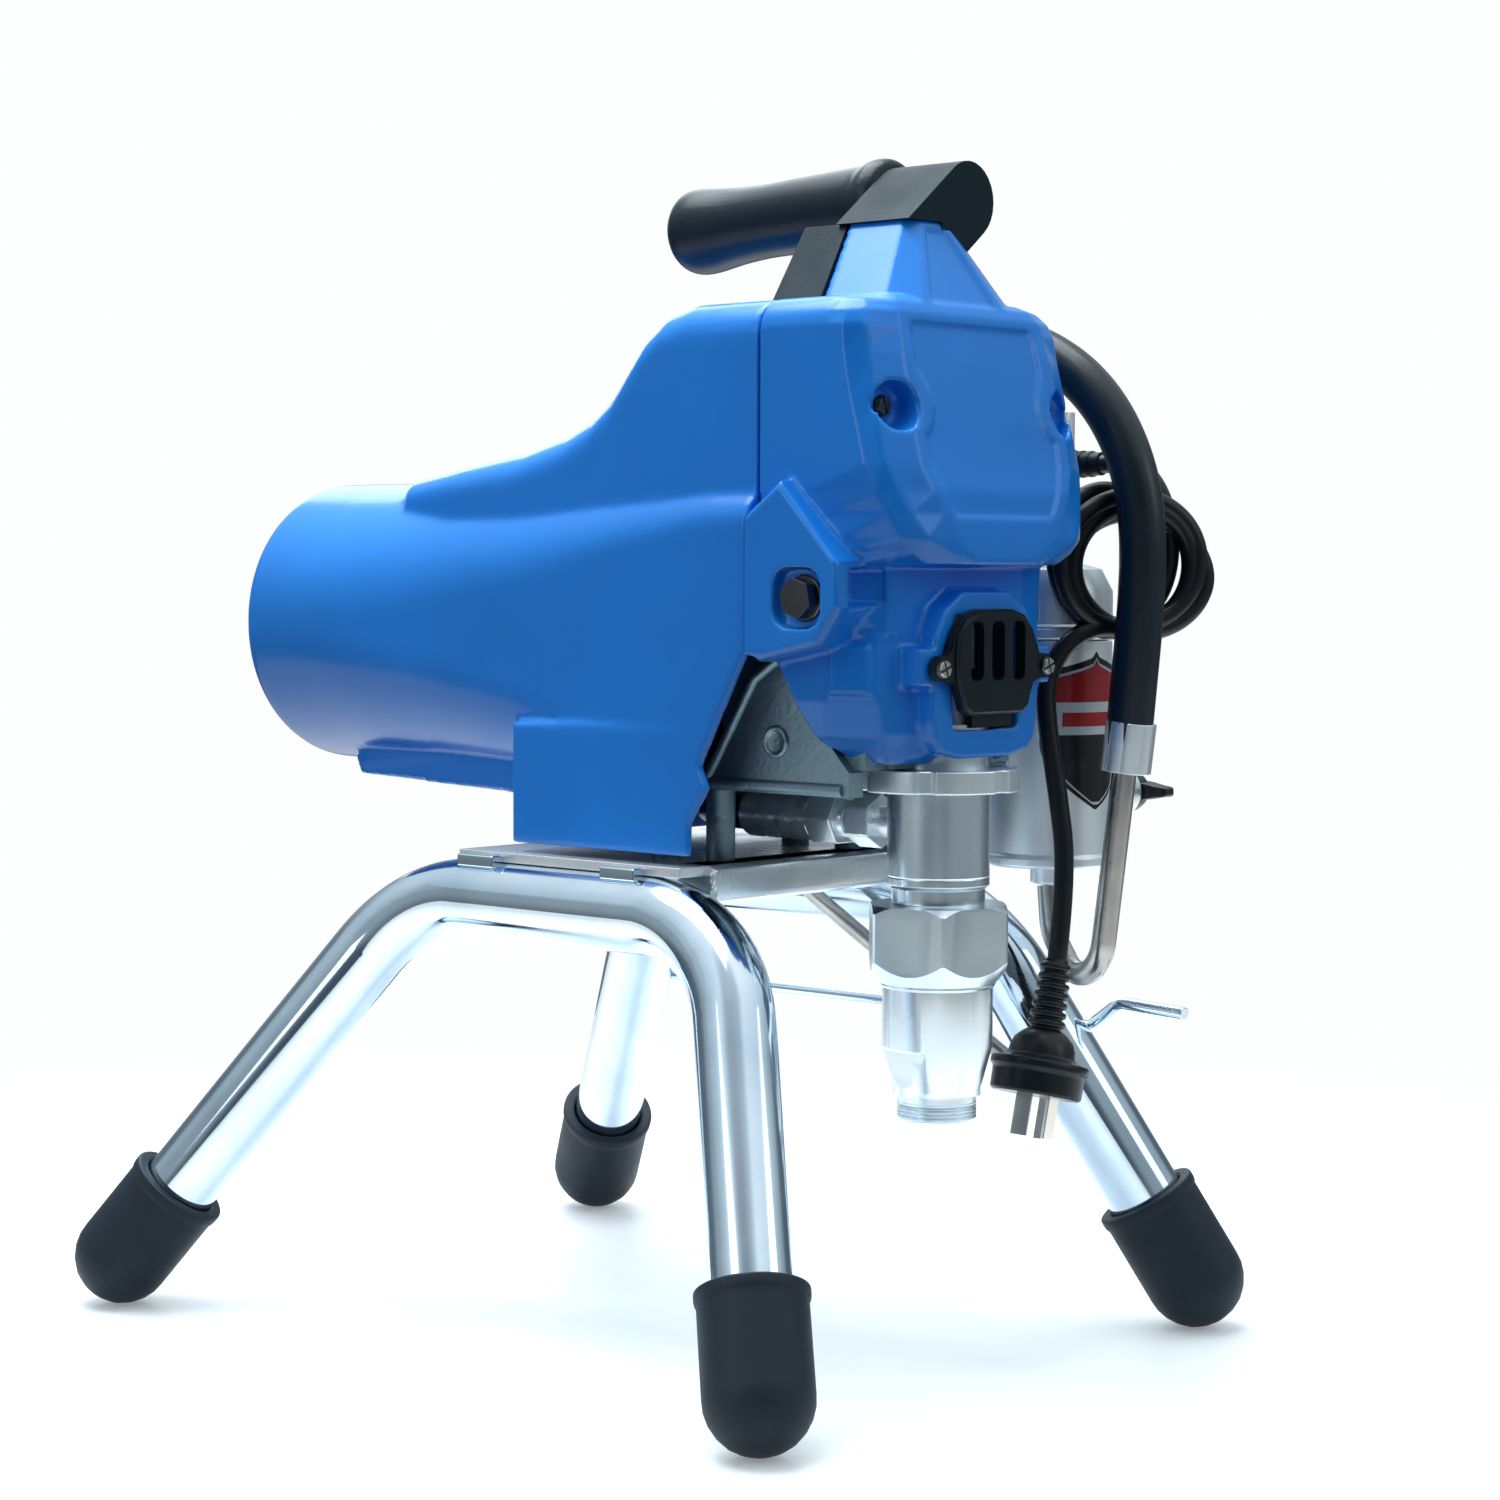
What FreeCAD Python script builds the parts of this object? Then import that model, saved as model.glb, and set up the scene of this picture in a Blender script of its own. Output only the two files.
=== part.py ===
import FreeCAD, Part
import Sketcher
import math
import os

from FreeCAD import Placement, Rotation, Vector

# Airless paint sprayer on a bent tube stand.
# Frame: +Z up, the pump faces -Y, the motor runs towards +Y, the filter side is +X.
# Origin: on the floor, at the middle of the four feet.

doc = FreeCAD.newDocument("paint_sprayer")
sheet = doc.addObject("Spreadsheet::Sheet", "sizes")

DIMENSIONS = [
    ("frame_tube_radius", 15.0), ("frame_tube_wall", 1.8), ("frame_bend_radius", 60.0),
    ("rail_spacing_half", 69.0), ("rail_height", 170.7), ("rail_front_y", -101.5), ("rail_rear_y", 66.2),
    ("foot_front_half_width", 128.3), ("foot_rear_half_width", 135.7), ("foot_half_length", 171.0),
    ("foot_radius", 20.0), ("foot_cap_length", 40.0),
    ("plate_half_width", 74.0), ("plate_front_y", -85.0), ("plate_rear_y", 40.0),
    ("plate_bottom", 185.7), ("plate_thickness", 4.0), ("flange_drop", 10.0),
    ("pump_y", -143.4), ("cylinder_radius", 19.0), ("cylinder_bore", 14.0),
    ("cylinder_bottom", 160.0), ("cylinder_top", 243.0), ("cylinder_shoulder", 183.0),
    ("stroke", 25.4), ("piston_rod_radius", 11.0), ("piston_rod_top", 262.0),
    ("piston_bottom", 166.0), ("running_gap", 0.05), ("rod_pin_height", 272.0), ("rod_pin_radius", 5.0),
    ("jam_nut_radius", 29.0), ("jam_nut_bottom", 218.0), ("jam_nut_thickness", 8.5),
    ("intake_top", 176.0), ("intake_hex_bottom", 149.0), ("intake_bottom", 96.0),
    ("intake_hex_radius", 27.0), ("intake_body_radius", 20.3), ("intake_neck_radius", 16.3),
    ("intake_thread_radius", 14.8), ("intake_ball_radius", 9.0), ("intake_ball_height", 124.3),
    ("piston_ball_radius", 5.0), ("piston_ball_height", 172.35),
    ("motor_height", 276.0), ("motor_radius", 48.0), ("motor_front_y", -26.0), ("motor_rear_y", 150.0),
    ("rotor_radius", 40.5), ("stator_bore", 41.0), ("shaft_radius", 6.0), ("shaft_nose_radius", 4.0),
    ("first_module", 1.25), ("second_module", 1.5), ("pinion_teeth", 12), ("first_gear_teeth", 48),
    ("crank_gear_teeth", 36), ("gear_shaft_radius", 5.0), ("crank_journal_radius", 10.0),
    ("crank_pin_radius", 8.0), ("bearing_radius", 21.0),
    ("wall_rear_y", -34.0), ("wall_front_y", -92.0), ("housing_half_width", 42.0),
    ("housing_bottom", 217.0), ("housing_top", 386.0),
    ("cover_wall", 3.0), ("seam_y", -108.0), ("cover_half_width", 60.0), ("cover_top", 397.0),
    ("shroud_end_y", 189.0), ("shroud_end_radius", 59.0), ("skirt_bottom", 193.0),
    ("manifold_x", 95.0), ("manifold_y", -123.0), ("manifold_radius", 24.0),
    ("manifold_bottom", 183.0), ("manifold_top", 272.0), ("cap_top", 302.0),
    ("valve_y", -134.0), ("valve_height", 211.0),
    ("box_left", 68.3), ("box_right", 121.0), ("box_front_y", -116.0), ("box_rear_y", -58.0),
    ("box_bottom", 306.0), ("box_top", 362.0), ("knob_radius", 12.5), ("knob_y", -78.0),
    ("drain_tube_radius", 4.75), ("drain_hose_radius", 9.0), ("transfer_hose_radius", 7.0),
    ("cord_radius", 3.75), ("coil_radius", 36.5), ("coil_depth", 14.5), ("tower_top", 427.0),
    ("coil_x", 95.3), ("coil_y", -160.5), ("coil_height", 305.0),
    ("grip_radius", 15.5), ("grip_x", 20.0), ("grip_height", 437.0), ("grip_front_y", -105.0),
    ("grip_rear_y", 16.0), ("arm_front_y", -140.0),
]
for row, (alias, value) in enumerate(DIMENSIONS, start=1):
    sheet.set(f"A{row}", alias)
    sheet.set(f"B{row}", str(value))
    sheet.setAlias(f"B{row}", alias)
doc.recompute()


class Size:
    """A number together with the sheet expression that gives it."""

    def __init__(self, value, text):
        self.value = float(value)
        self.text = text

    def join(self, other, sign, flip=False):
        other = as_size(other)
        left, right = (other, self) if flip else (self, other)
        value = {"+": left.value + right.value, "-": left.value - right.value,
                 "*": left.value * right.value}.get(sign)
        if sign == "/":
            value = left.value / right.value
        return Size(value, f"({left.text} {sign} {right.text})")

    def __add__(self, other):
        return self.join(other, "+")

    def __radd__(self, other):
        return self.join(other, "+", True)

    def __sub__(self, other):
        return self.join(other, "-")

    def __rsub__(self, other):
        return self.join(other, "-", True)

    def __mul__(self, other):
        return self.join(other, "*")

    def __rmul__(self, other):
        return self.join(other, "*", True)

    def __truediv__(self, other):
        return self.join(other, "/")

    def __neg__(self):
        return self.join(-1, "*")

    def __float__(self):
        return self.value


def as_size(value):
    if isinstance(value, Size):
        return value
    return Size(value, f"({value})")


class Sizes:
    """sizes.name gives the cell of that name as a Size."""

    def __getattr__(self, name):
        return Size(dict(DIMENSIONS)[name], f"sizes.{name}")


z = Sizes()
nodes = []


def keep(item, name):
    """Name a finished sub-part."""
    item.Label = name
    nodes.append(item)
    return item


def bind(item, name, value):
    value = as_size(value)
    item.setExpression(name, value.text)


def place(item, base, axis=(0, 0, 1), spin=0.0):
    """Put an item at base with its own Z along axis, its place bound to the sheet."""
    turn = Rotation(Vector(0, 0, 1), Vector(*axis)) * Rotation(Vector(0, 0, 1), spin)
    item.Placement = Placement(Vector(*[float(value) for value in base]), turn)
    for letter, value in zip("xyz", base):
        if isinstance(value, Size):
            bind(item, f"Placement.Base.{letter}", value)
    return item


def cylinder(radius, height, base, axis=(0, 0, 1)):
    item = doc.addObject("Part::Cylinder", "cylinder")
    bind(item, "Radius", radius)
    bind(item, "Height", height)
    return place(item, base, axis)


def box(low, high):
    item = doc.addObject("Part::Box", "box")
    for name, start, end in zip(("Length", "Width", "Height"), low, high):
        bind(item, name, as_size(end) - start)
    return place(item, low)


def sphere(radius, base):
    item = doc.addObject("Part::Sphere", "ball")
    bind(item, "Radius", radius)
    return place(item, base)


def fuse(*items):
    item = doc.addObject("Part::MultiFuse", "joined")
    item.Shapes = list(items)
    item.Refine = True
    return item


def cut(base, *tools):
    item = doc.addObject("Part::Cut", "cut")
    item.Base = base
    item.Tool = tools[0] if len(tools) == 1 else fuse(*tools)
    return item


def group(*items):
    item = doc.addObject("Part::Compound", "group")
    item.Links = list(items)
    return item


def plain(shape, name="solid"):
    item = doc.addObject("Part::Feature", name)
    item.Shape = shape
    return item


def sketch_on(body, role, points):
    """A closed outline on one of the body's own planes, each corner bound to the sheet."""
    sketch = body.newObject("Sketcher::SketchObject", "outline")
    plane = [item for item in body.Origin.OriginFeatures if item.Role == role][0]
    sketch.AttachmentSupport = [(plane, "")]
    sketch.MapMode = "FlatFace"
    count = len(points)
    corners = [Vector(float(across), float(up), 0) for across, up in points]
    for index in range(count):
        sketch.addGeometry(Part.LineSegment(corners[index], corners[(index + 1) % count]), False)
    for index in range(count):
        sketch.addConstraint(Sketcher.Constraint("Coincident", index, 2, (index + 1) % count, 1))
    for index, point in enumerate(points):
        for kind, value in zip(("DistanceX", "DistanceY"), point):
            if abs(float(value)) < 1e-9:
                on_axis = -2 if kind == "DistanceX" else -1
                sketch.addConstraint(Sketcher.Constraint("PointOnObject", index, 1, on_axis))
                continue
            number = sketch.addConstraint(Sketcher.Constraint(kind, index, 1, float(value)))
            if isinstance(value, Size):
                bind(sketch, f"Constraints[{number}]", value)
    return sketch


def turned(points, base, axis=(0, 0, 1)):
    """A turned piece: a (radius, height) outline revolved about the body's own Z."""
    body = doc.addObject("PartDesign::Body", "turned")
    sketch = sketch_on(body, "XZ_Plane", points)
    turn = body.newObject("PartDesign::Revolution", "turn")
    turn.Profile = sketch
    turn.ReferenceAxis = (sketch, ["V_Axis"])
    turn.Angle = 360
    sketch.Visibility = False
    return place(body, base, axis)


def padded(points, length, base, axis=(0, 0, 1), spin=0.0):
    """A plate: an outline on the body's XY plane, padded along its own Z."""
    body = doc.addObject("PartDesign::Body", "plate")
    sketch = sketch_on(body, "XY_Plane", points)
    pad = body.newObject("PartDesign::Pad", "pad")
    pad.Profile = sketch
    bind(pad, "Length", length)
    return place(body, base, axis, spin)


def ring(outer, inner, low, high, base, axis=(0, 0, 1)):
    return turned([(inner, low), (outer, low), (outer, high), (inner, high)], base, axis)


def regular(count, radius, phase=0.0):
    """Corners of a regular polygon as multiples of a bound radius."""
    corners = []
    for index in range(count):
        angle = 2 * math.pi * index / count + phase
        corners.append((radius * round(math.cos(angle), 6), radius * round(math.sin(angle), 6)))
    return corners


def rounded_path(points, share=0.45, radius=None):
    """Straight runs joined by tangent arcs. Returns the wire, its length and its radii."""
    points = [Vector(*[float(value) for value in point]) for point in points]
    edges = []
    radii = []
    start = points[0]
    for before, corner, after in zip(points, points[1:], points[2:]):
        run_in = corner - before
        run_out = after - corner
        turn = run_in.getAngle(run_out)
        reach = share * min(run_in.Length, run_out.Length)
        if radius is not None:
            reach = float(radius) * math.tan(turn / 2)
        radii.append(reach / math.tan(turn / 2))
        first = corner - run_in.normalize() * reach
        last = corner + run_out.normalize() * reach
        bend = radii[-1] * (1 / math.cos(turn / 2) - 1)
        inward = (first - corner) + (last - corner)
        middle = corner + inward.normalize() * bend
        edges.append(Part.LineSegment(start, first).toShape())
        edges.append(Part.Arc(first, middle, last).toShape())
        start = last
    edges.append(Part.LineSegment(start, points[-1]).toShape())
    path = Part.Wire(edges)
    return path, path.Length, radii


def hose_solid(points, outer, inner=0.0, radius=None):
    """A round tube along a path of runs and arcs, hollow where inner is given."""
    path, length, radii = rounded_path(points, radius=radius)
    start = Vector(*[float(value) for value in points[0]])
    heading = Vector(*[float(value) for value in points[1]]) - start
    solids = []
    for size in [float(outer)] + ([float(inner)] if inner else []):
        section = Part.Wire([Part.Circle(start, heading, size).toShape()])
        solids.append(path.makePipeShell([section], True, False))
    solid = solids[0].cut(solids[1]) if inner else solids[0]
    wanted = math.pi * (float(outer) ** 2 - float(inner) ** 2) * length
    print(f"tube: length {length:.1f}, radii {[round(value) for value in radii]}, "
          f"volume ratio {solid.Volume / wanted:.4f}")
    return solid


def section_loft(sections):
    """A ruled solid through closed polygons of equal corner count."""
    wires = []
    for corners in sections:
        corners = [Vector(*[float(value) for value in corner]) for corner in corners]
        wires.append(Part.makePolygon(corners + corners[:1]))
    return Part.makeLoft(wires, True, True)


def gear_outline(teeth, module, height_factor=0.86, width_factor=0.90):
    """Involute teeth of 20 degrees, thinned for backlash, the first tooth centred on +X."""
    pitch = teeth * module / 2
    base = pitch * math.cos(math.radians(20))
    tip = pitch + height_factor * module
    root = pitch - 1.15 * module
    half_tooth = width_factor * math.pi / (2 * teeth)
    involute_at_pitch = math.tan(math.radians(20)) - math.radians(20)
    corners = []
    for tooth in range(teeth):
        middle = 2 * math.pi * tooth / teeth
        flank = []
        for step in range(4):
            radius = max(base, root) + (tip - max(base, root)) * step / 3
            pressure = math.acos(min(1.0, base / radius))
            angle = half_tooth + involute_at_pitch - (math.tan(pressure) - pressure)
            flank.append((radius, angle))
        flank = [(root, flank[0][1])] + flank if root < base else flank
        corners += [(radius, middle - angle) for radius, angle in flank]
        corners += [(radius, middle + angle) for radius, angle in reversed(flank)]
    return [(radius * math.cos(angle), radius * math.sin(angle)) for radius, angle in corners]


def gear(teeth, module, bore, width, base, phase):
    """A spur gear with its axis along Y, phase in degrees about its own axis."""
    corners = [Vector(across, up, 0) for across, up in gear_outline(int(float(teeth)), float(module))]
    face = Part.Face(Part.makePolygon(corners + corners[:1]))
    solid = face.extrude(Vector(0, 0, float(width)))
    solid = solid.cut(Part.makeCylinder(float(bore), float(width)))
    item = plain(solid, "gear")
    turn = Rotation(Vector(1, 0, 0), 90) * Rotation(Vector(0, 0, 1), phase)
    item.Placement = Placement(Vector(*[float(value) for value in base]), turn)
    return item


ALONG_Y = (0, 1, 0)
ALONG_X = (1, 0, 0)
FORWARD = (0, -1, 0)


# Stand -----------------------------------------------------------------------------------------
def foot_point(side, end):
    half = z.foot_front_half_width if end < 0 else z.foot_rear_half_width
    return Vector(side * float(half), end * float(z.foot_half_length), float(z.foot_radius))


def rail_point(side, end):
    along = z.rail_front_y if end < 0 else z.rail_rear_y
    return Vector(side * float(z.rail_spacing_half), float(along), float(z.rail_height))


def make_stand():
    for side, name in ((-1, "frame_tube_left"), (1, "frame_tube_right")):
        route = [foot_point(side, -1), rail_point(side, -1), rail_point(side, 1), foot_point(side, 1)]
        solid = hose_solid(route, z.frame_tube_radius, z.frame_tube_radius - z.frame_tube_wall,
                           radius=z.frame_bend_radius)
        keep(plain(solid, "rail"), name)
    for side, across in ((-1, "left"), (1, "right")):
        for end, along in ((-1, "front"), (1, "rear")):
            foot = foot_point(side, end)
            axis = (rail_point(side, end) - foot).normalize()
            cap = turned([(0, -z.foot_radius + 4), (z.frame_tube_radius - 2, -z.foot_radius + 6),
                          (z.foot_radius - 0.6, 0), (z.foot_radius - 0.6, z.foot_cap_length - 3),
                          (z.foot_radius + 0.4, z.foot_cap_length - 3),
                          (z.foot_radius + 0.4, z.foot_cap_length),
                          (z.frame_tube_radius, z.foot_cap_length), (z.frame_tube_radius, 0), (0, 0)],
                         (foot.x, foot.y, z.foot_radius), tuple(axis))
            ball = cut(sphere(z.foot_radius, (foot.x, foot.y, z.foot_radius)),
                       cylinder(z.foot_radius + 5, z.foot_radius + 5, (foot.x, foot.y, z.foot_radius),
                                tuple(axis)))
            keep(fuse(cap, ball), f"foot_cap_{along}_{across}")
    top = z.plate_bottom + z.plate_thickness
    plate = box((-z.plate_half_width, z.plate_front_y, z.plate_bottom),
                (z.plate_half_width, z.plate_rear_y, top))
    flange = box((-z.rail_spacing_half + 18, z.plate_front_y, z.plate_bottom - z.flange_drop),
                 (z.rail_spacing_half - 18, z.plate_front_y + 3, top))
    keep(fuse(plate, flange), "platform_plate")
    hook = hose_solid([(107, 112, 118.5), (107, -136, 119), (106, -150, 129), (104, -182, 128)], 2.6, radius=9)
    keep(plain(hook, "rod"), "hook_rod")
    brace = hose_solid([(30, -42, 182), (37, -50, 170), (103, -146, 74)], 3.2, radius=12)
    keep(plain(brace, "rod"), "brace_rod")


# Gear train and crank ----------------------------------------------------------------------------
first_distance = (z.pinion_teeth + z.first_gear_teeth) * z.first_module / 2
second_distance = (z.pinion_teeth + z.crank_gear_teeth) * z.second_module / 2
middle_height = z.motor_height + first_distance
crank_height = middle_height + second_distance
crank_throw = z.stroke / 2
first_gear_y = -46.0
second_gear_y = -60.0


def make_gears():
    """Teeth mesh on the line between the shafts, which is vertical."""
    half_first = 180.0 / float(z.pinion_teeth)
    keep(gear(z.pinion_teeth, z.first_module, z.shaft_nose_radius, 10.0,
              (0, first_gear_y + 1, z.motor_height), 90.0), "motor_pinion")
    large = gear(z.first_gear_teeth, z.first_module, z.gear_shaft_radius, 8.0,
                 (0, first_gear_y, middle_height), -90.0 + 180.0 / float(z.first_gear_teeth))
    small = gear(z.pinion_teeth, z.second_module, z.gear_shaft_radius, 12.0,
                 (0, second_gear_y + 1, middle_height), 90.0)
    shaft = cylinder(z.gear_shaft_radius, 48.0, (0, -36, middle_height), FORWARD)
    keep(fuse(large, small, shaft), "intermediate_gear")
    keep(gear(z.crank_gear_teeth, z.second_module, z.crank_journal_radius, 10.0,
              (0, second_gear_y, crank_height), -90.0 + 180.0 / float(z.crank_gear_teeth)), "crank_gear")
    journal = cylinder(z.crank_journal_radius, 39.0, (0, -58.5, crank_height), FORWARD)
    disc = cylinder(24.0, 30.0, (0, -97.0, crank_height), FORWARD)
    pin = cylinder(z.crank_pin_radius, 12.0, (0, -125.5, crank_height - crank_throw), FORWARD)
    keep(fuse(journal, disc, pin), "crankshaft")
    front_bearing = ring(z.bearing_radius, z.crank_journal_radius + z.running_gap, 0, 16,
                         (0, -92.0, crank_height), ALONG_Y)
    keep(front_bearing, "crank_bearing")
    return half_first


def make_motor():
    axis_height = z.motor_height
    keep(ring(z.motor_radius, z.stator_bore, z.motor_front_y, z.motor_rear_y, (0, 0, axis_height), ALONG_Y),
         "motor_can")
    front = ring(z.motor_radius + 2, z.shaft_radius + z.running_gap, z.wall_rear_y, z.motor_front_y,
                 (0, 0, axis_height), ALONG_Y)
    rear = ring(z.motor_radius + 1, z.shaft_radius + z.running_gap, z.motor_rear_y, z.motor_rear_y + 7,
                (0, 0, axis_height), ALONG_Y)
    keep(group(front, rear), "motor_end_plates")
    core = cylinder(z.rotor_radius, 146.0, (0, -12, axis_height), ALONG_Y)
    shaft = cylinder(z.shaft_radius, 213.0, (0, -43.5, axis_height), ALONG_Y)
    nose = cylinder(z.shaft_nose_radius, 15.0, (0, -43.5, axis_height), FORWARD)
    keep(fuse(core, shaft, nose), "motor_rotor")
    hub = Part.makeCylinder(14.0, 9.0).cut(Part.makeCylinder(float(z.shaft_radius), 9.0))
    blades = []
    for index in range(9):
        blade = Part.makeBox(31, 1.6, 7.5, Vector(12, -0.8, 0))
        blade.rotate(Vector(0, 0, 4), Vector(1, 0, 0), 28)
        blade.rotate(Vector(0, 0, 0), Vector(0, 0, 1), 40.0 * index)
        blades.append(blade)
    wheel = hub.fuse(blades).cut(Part.makeCylinder(float(z.shaft_radius), 9.0))
    item = plain(wheel, "fan")
    item.Placement = Placement(Vector(0, 159.5, float(axis_height)), Rotation(Vector(1, 0, 0), -90))
    keep(item, "cooling_fan")


def make_housing():
    half = z.housing_half_width
    rear_wall = box((-half, z.wall_rear_y - 8, z.housing_bottom + 10), (half, z.wall_rear_y, 350))
    front_wall = box((-half, z.wall_front_y, z.housing_bottom), (half, z.wall_front_y + 18, z.housing_top))
    floor = box((-half, z.wall_front_y, z.housing_bottom), (half, z.wall_rear_y, z.housing_bottom + 10))
    roof = box((-half, z.wall_front_y, z.housing_top - 5), (half, -58, z.housing_top))
    cheeks = []
    for side in (-1, 1):
        outline = [(-66, 217), (-93, 260), (-112, 271), (-124, 262), (-126, 240), (-139, 226), (-139, 217)]
        corners = [Vector(side * 46.0, along, up) for along, up in outline]
        face = Part.Face(Part.makePolygon(corners + corners[:1]))
        cheeks.append(plain(face.extrude(Vector(-side * 8.0, 0, 0)), "cheek"))
        for along in (-68.0, -40.0):
            top = z.plate_bottom + z.plate_thickness
            cheeks.append(cylinder(5.5, as_size(z.housing_bottom) + 5 - top, (side * 37.0, along, top)))
    collar = cut(cylinder(30.0, z.cylinder_top - 227, (0, z.pump_y, 227)),
                 box((-40, z.pump_y - 40, 220), (40, z.pump_y - 3, 250)))
    bridge = box((-half, z.pump_y, 227), (half, z.wall_front_y + 2, z.cylinder_top))
    solid = fuse(rear_wall, front_wall, floor, roof, collar, bridge, *cheeks)
    solid.Refine = False
    holes = [cylinder(z.cylinder_radius, 60.0, (0, z.pump_y, 200)),
             cylinder(z.bearing_radius, 20.0, (0, -93.0, crank_height), ALONG_Y),
             cylinder(z.gear_shaft_radius + z.running_gap, 60.0, (0, -85.0, middle_height), ALONG_Y),
             cylinder(z.shaft_radius + 2, 20.0, (0, -48.0, z.motor_height), ALONG_Y)]
    keep(cut(solid, *holes), "drive_housing")


# Pump --------------------------------------------------------------------------------------------
def make_pump():
    here = (0, z.pump_y, 0)
    keep(turned([(z.cylinder_bore, z.cylinder_bottom), (17, z.cylinder_bottom), (17, z.intake_top),
                 (17.4, z.intake_top + 0.6), (17.4, z.cylinder_shoulder - 1),
                 (z.cylinder_radius, z.cylinder_shoulder), (z.cylinder_radius, z.cylinder_top),
                 (16, z.cylinder_top), (16, 222), (z.cylinder_bore, 222)], here), "pump_cylinder")
    keep(ring(15.95, z.piston_rod_radius + z.running_gap, 222.5, 236, here), "throat_packings")
    nut_top = cut(padded(regular(6, as_size(18.5)), 12.0, (0, z.pump_y, z.cylinder_top)),
                  cylinder(z.piston_rod_radius + z.running_gap, 40.0, (0, z.pump_y, 230)))
    nut_neck = ring(16.0, z.piston_rod_radius + z.running_gap, 236, z.cylinder_top, here)
    keep(fuse(nut_top, nut_neck), "packing_nut")
    jam = cylinder(z.jam_nut_radius, z.jam_nut_thickness, (0, z.pump_y, z.jam_nut_bottom))
    lugs = []
    for index in range(6):
        angle = math.radians(60 * index + 12)
        notch = cylinder(4.0, 12.0, (31.0 * math.cos(angle), float(z.pump_y) + 31.0 * math.sin(angle),
                                     float(z.jam_nut_bottom) - 2))
        lugs.append(notch)
    keep(cut(jam, cylinder(z.cylinder_radius, 14.0, (0, z.pump_y, z.jam_nut_bottom - 2)), *lugs), "jam_nut")

    upper = padded(regular(8, z.intake_hex_radius, math.pi / 8), z.intake_top - z.intake_hex_bottom,
                   (0, z.pump_y, z.intake_hex_bottom))
    lower = turned([(0, z.intake_bottom), (z.intake_thread_radius, z.intake_bottom),
                    (z.intake_thread_radius, 102.8), (z.intake_neck_radius, 103.4),
                    (z.intake_neck_radius, 109), (z.intake_body_radius, 121),
                    (z.intake_body_radius, 145.7), (z.intake_hex_radius - 2, z.intake_hex_bottom),
                    (0, z.intake_hex_bottom)], here)
    hollow = turned([(0, 95), (9, 95), (9, 110), (12, 110), (12, 118.02), (11, 118.02), (11, 140),
                     (z.cylinder_bore, 144), (z.cylinder_bore, z.cylinder_bottom), (17, z.cylinder_bottom),
                     (17, 180), (0, 180)], here)
    keep(cut(fuse(upper, lower), hollow), "intake_housing")
    keep(ring(12.0, 6.5, 110, 118, here), "intake_seat")
    keep(sphere(z.intake_ball_radius, (0, z.pump_y, z.intake_ball_height)), "intake_ball")

    rod = turned([(0, 181), (6, 181), (6, 172), (3.2, 168), (3.2, z.piston_bottom), (12.5, z.piston_bottom),
                  (12.5, 184), (z.piston_rod_radius, 186), (z.piston_rod_radius, z.piston_rod_top),
                  (0, z.piston_rod_top)], here)
    tongue = box((-8, z.pump_y - 3.5, z.piston_rod_top - 1), (8, z.pump_y + 3.5, 283))
    keep(cut(fuse(rod, tongue), cylinder(z.rod_pin_radius, 30.0, (0, z.pump_y - 15, z.rod_pin_height), ALONG_Y)),
         "piston_rod")
    keep(group(ring(z.cylinder_bore - z.running_gap, 12.5, 169, 173, here),
               ring(z.cylinder_bore - z.running_gap, 12.5, 176.5, 180.5, here)), "piston_seals")
    keep(sphere(z.piston_ball_radius, (0, z.pump_y, z.piston_ball_height)), "piston_ball")

    big_height = crank_height - crank_throw
    back = z.pump_y + 5.4
    eye = cylinder(15.0, 11.0, (0, back, big_height), FORWARD)
    shank = box((-7, z.pump_y - 5.6, 284), (7, back, big_height - 9))
    fork = box((-11, z.pump_y - 10.4, 263), (11, z.pump_y + 10.4, 291))
    slot = box((-12, z.pump_y - 3.7, 260), (12, z.pump_y + 3.7, 284.2))
    rod_hole = cylinder(z.rod_pin_radius, 40.0, (0, z.pump_y - 20, z.rod_pin_height), ALONG_Y)
    crank_hole = cylinder(z.crank_pin_radius + 0.3, 14.0, (0, back + 1, big_height), FORWARD)
    keep(cut(fuse(eye, shank, fork), slot, rod_hole, crank_hole), "connecting_rod")
    keep(cylinder(z.rod_pin_radius, 22.8, (0, z.pump_y + 11.4, z.rod_pin_height), FORWARD), "rod_pin")


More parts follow.
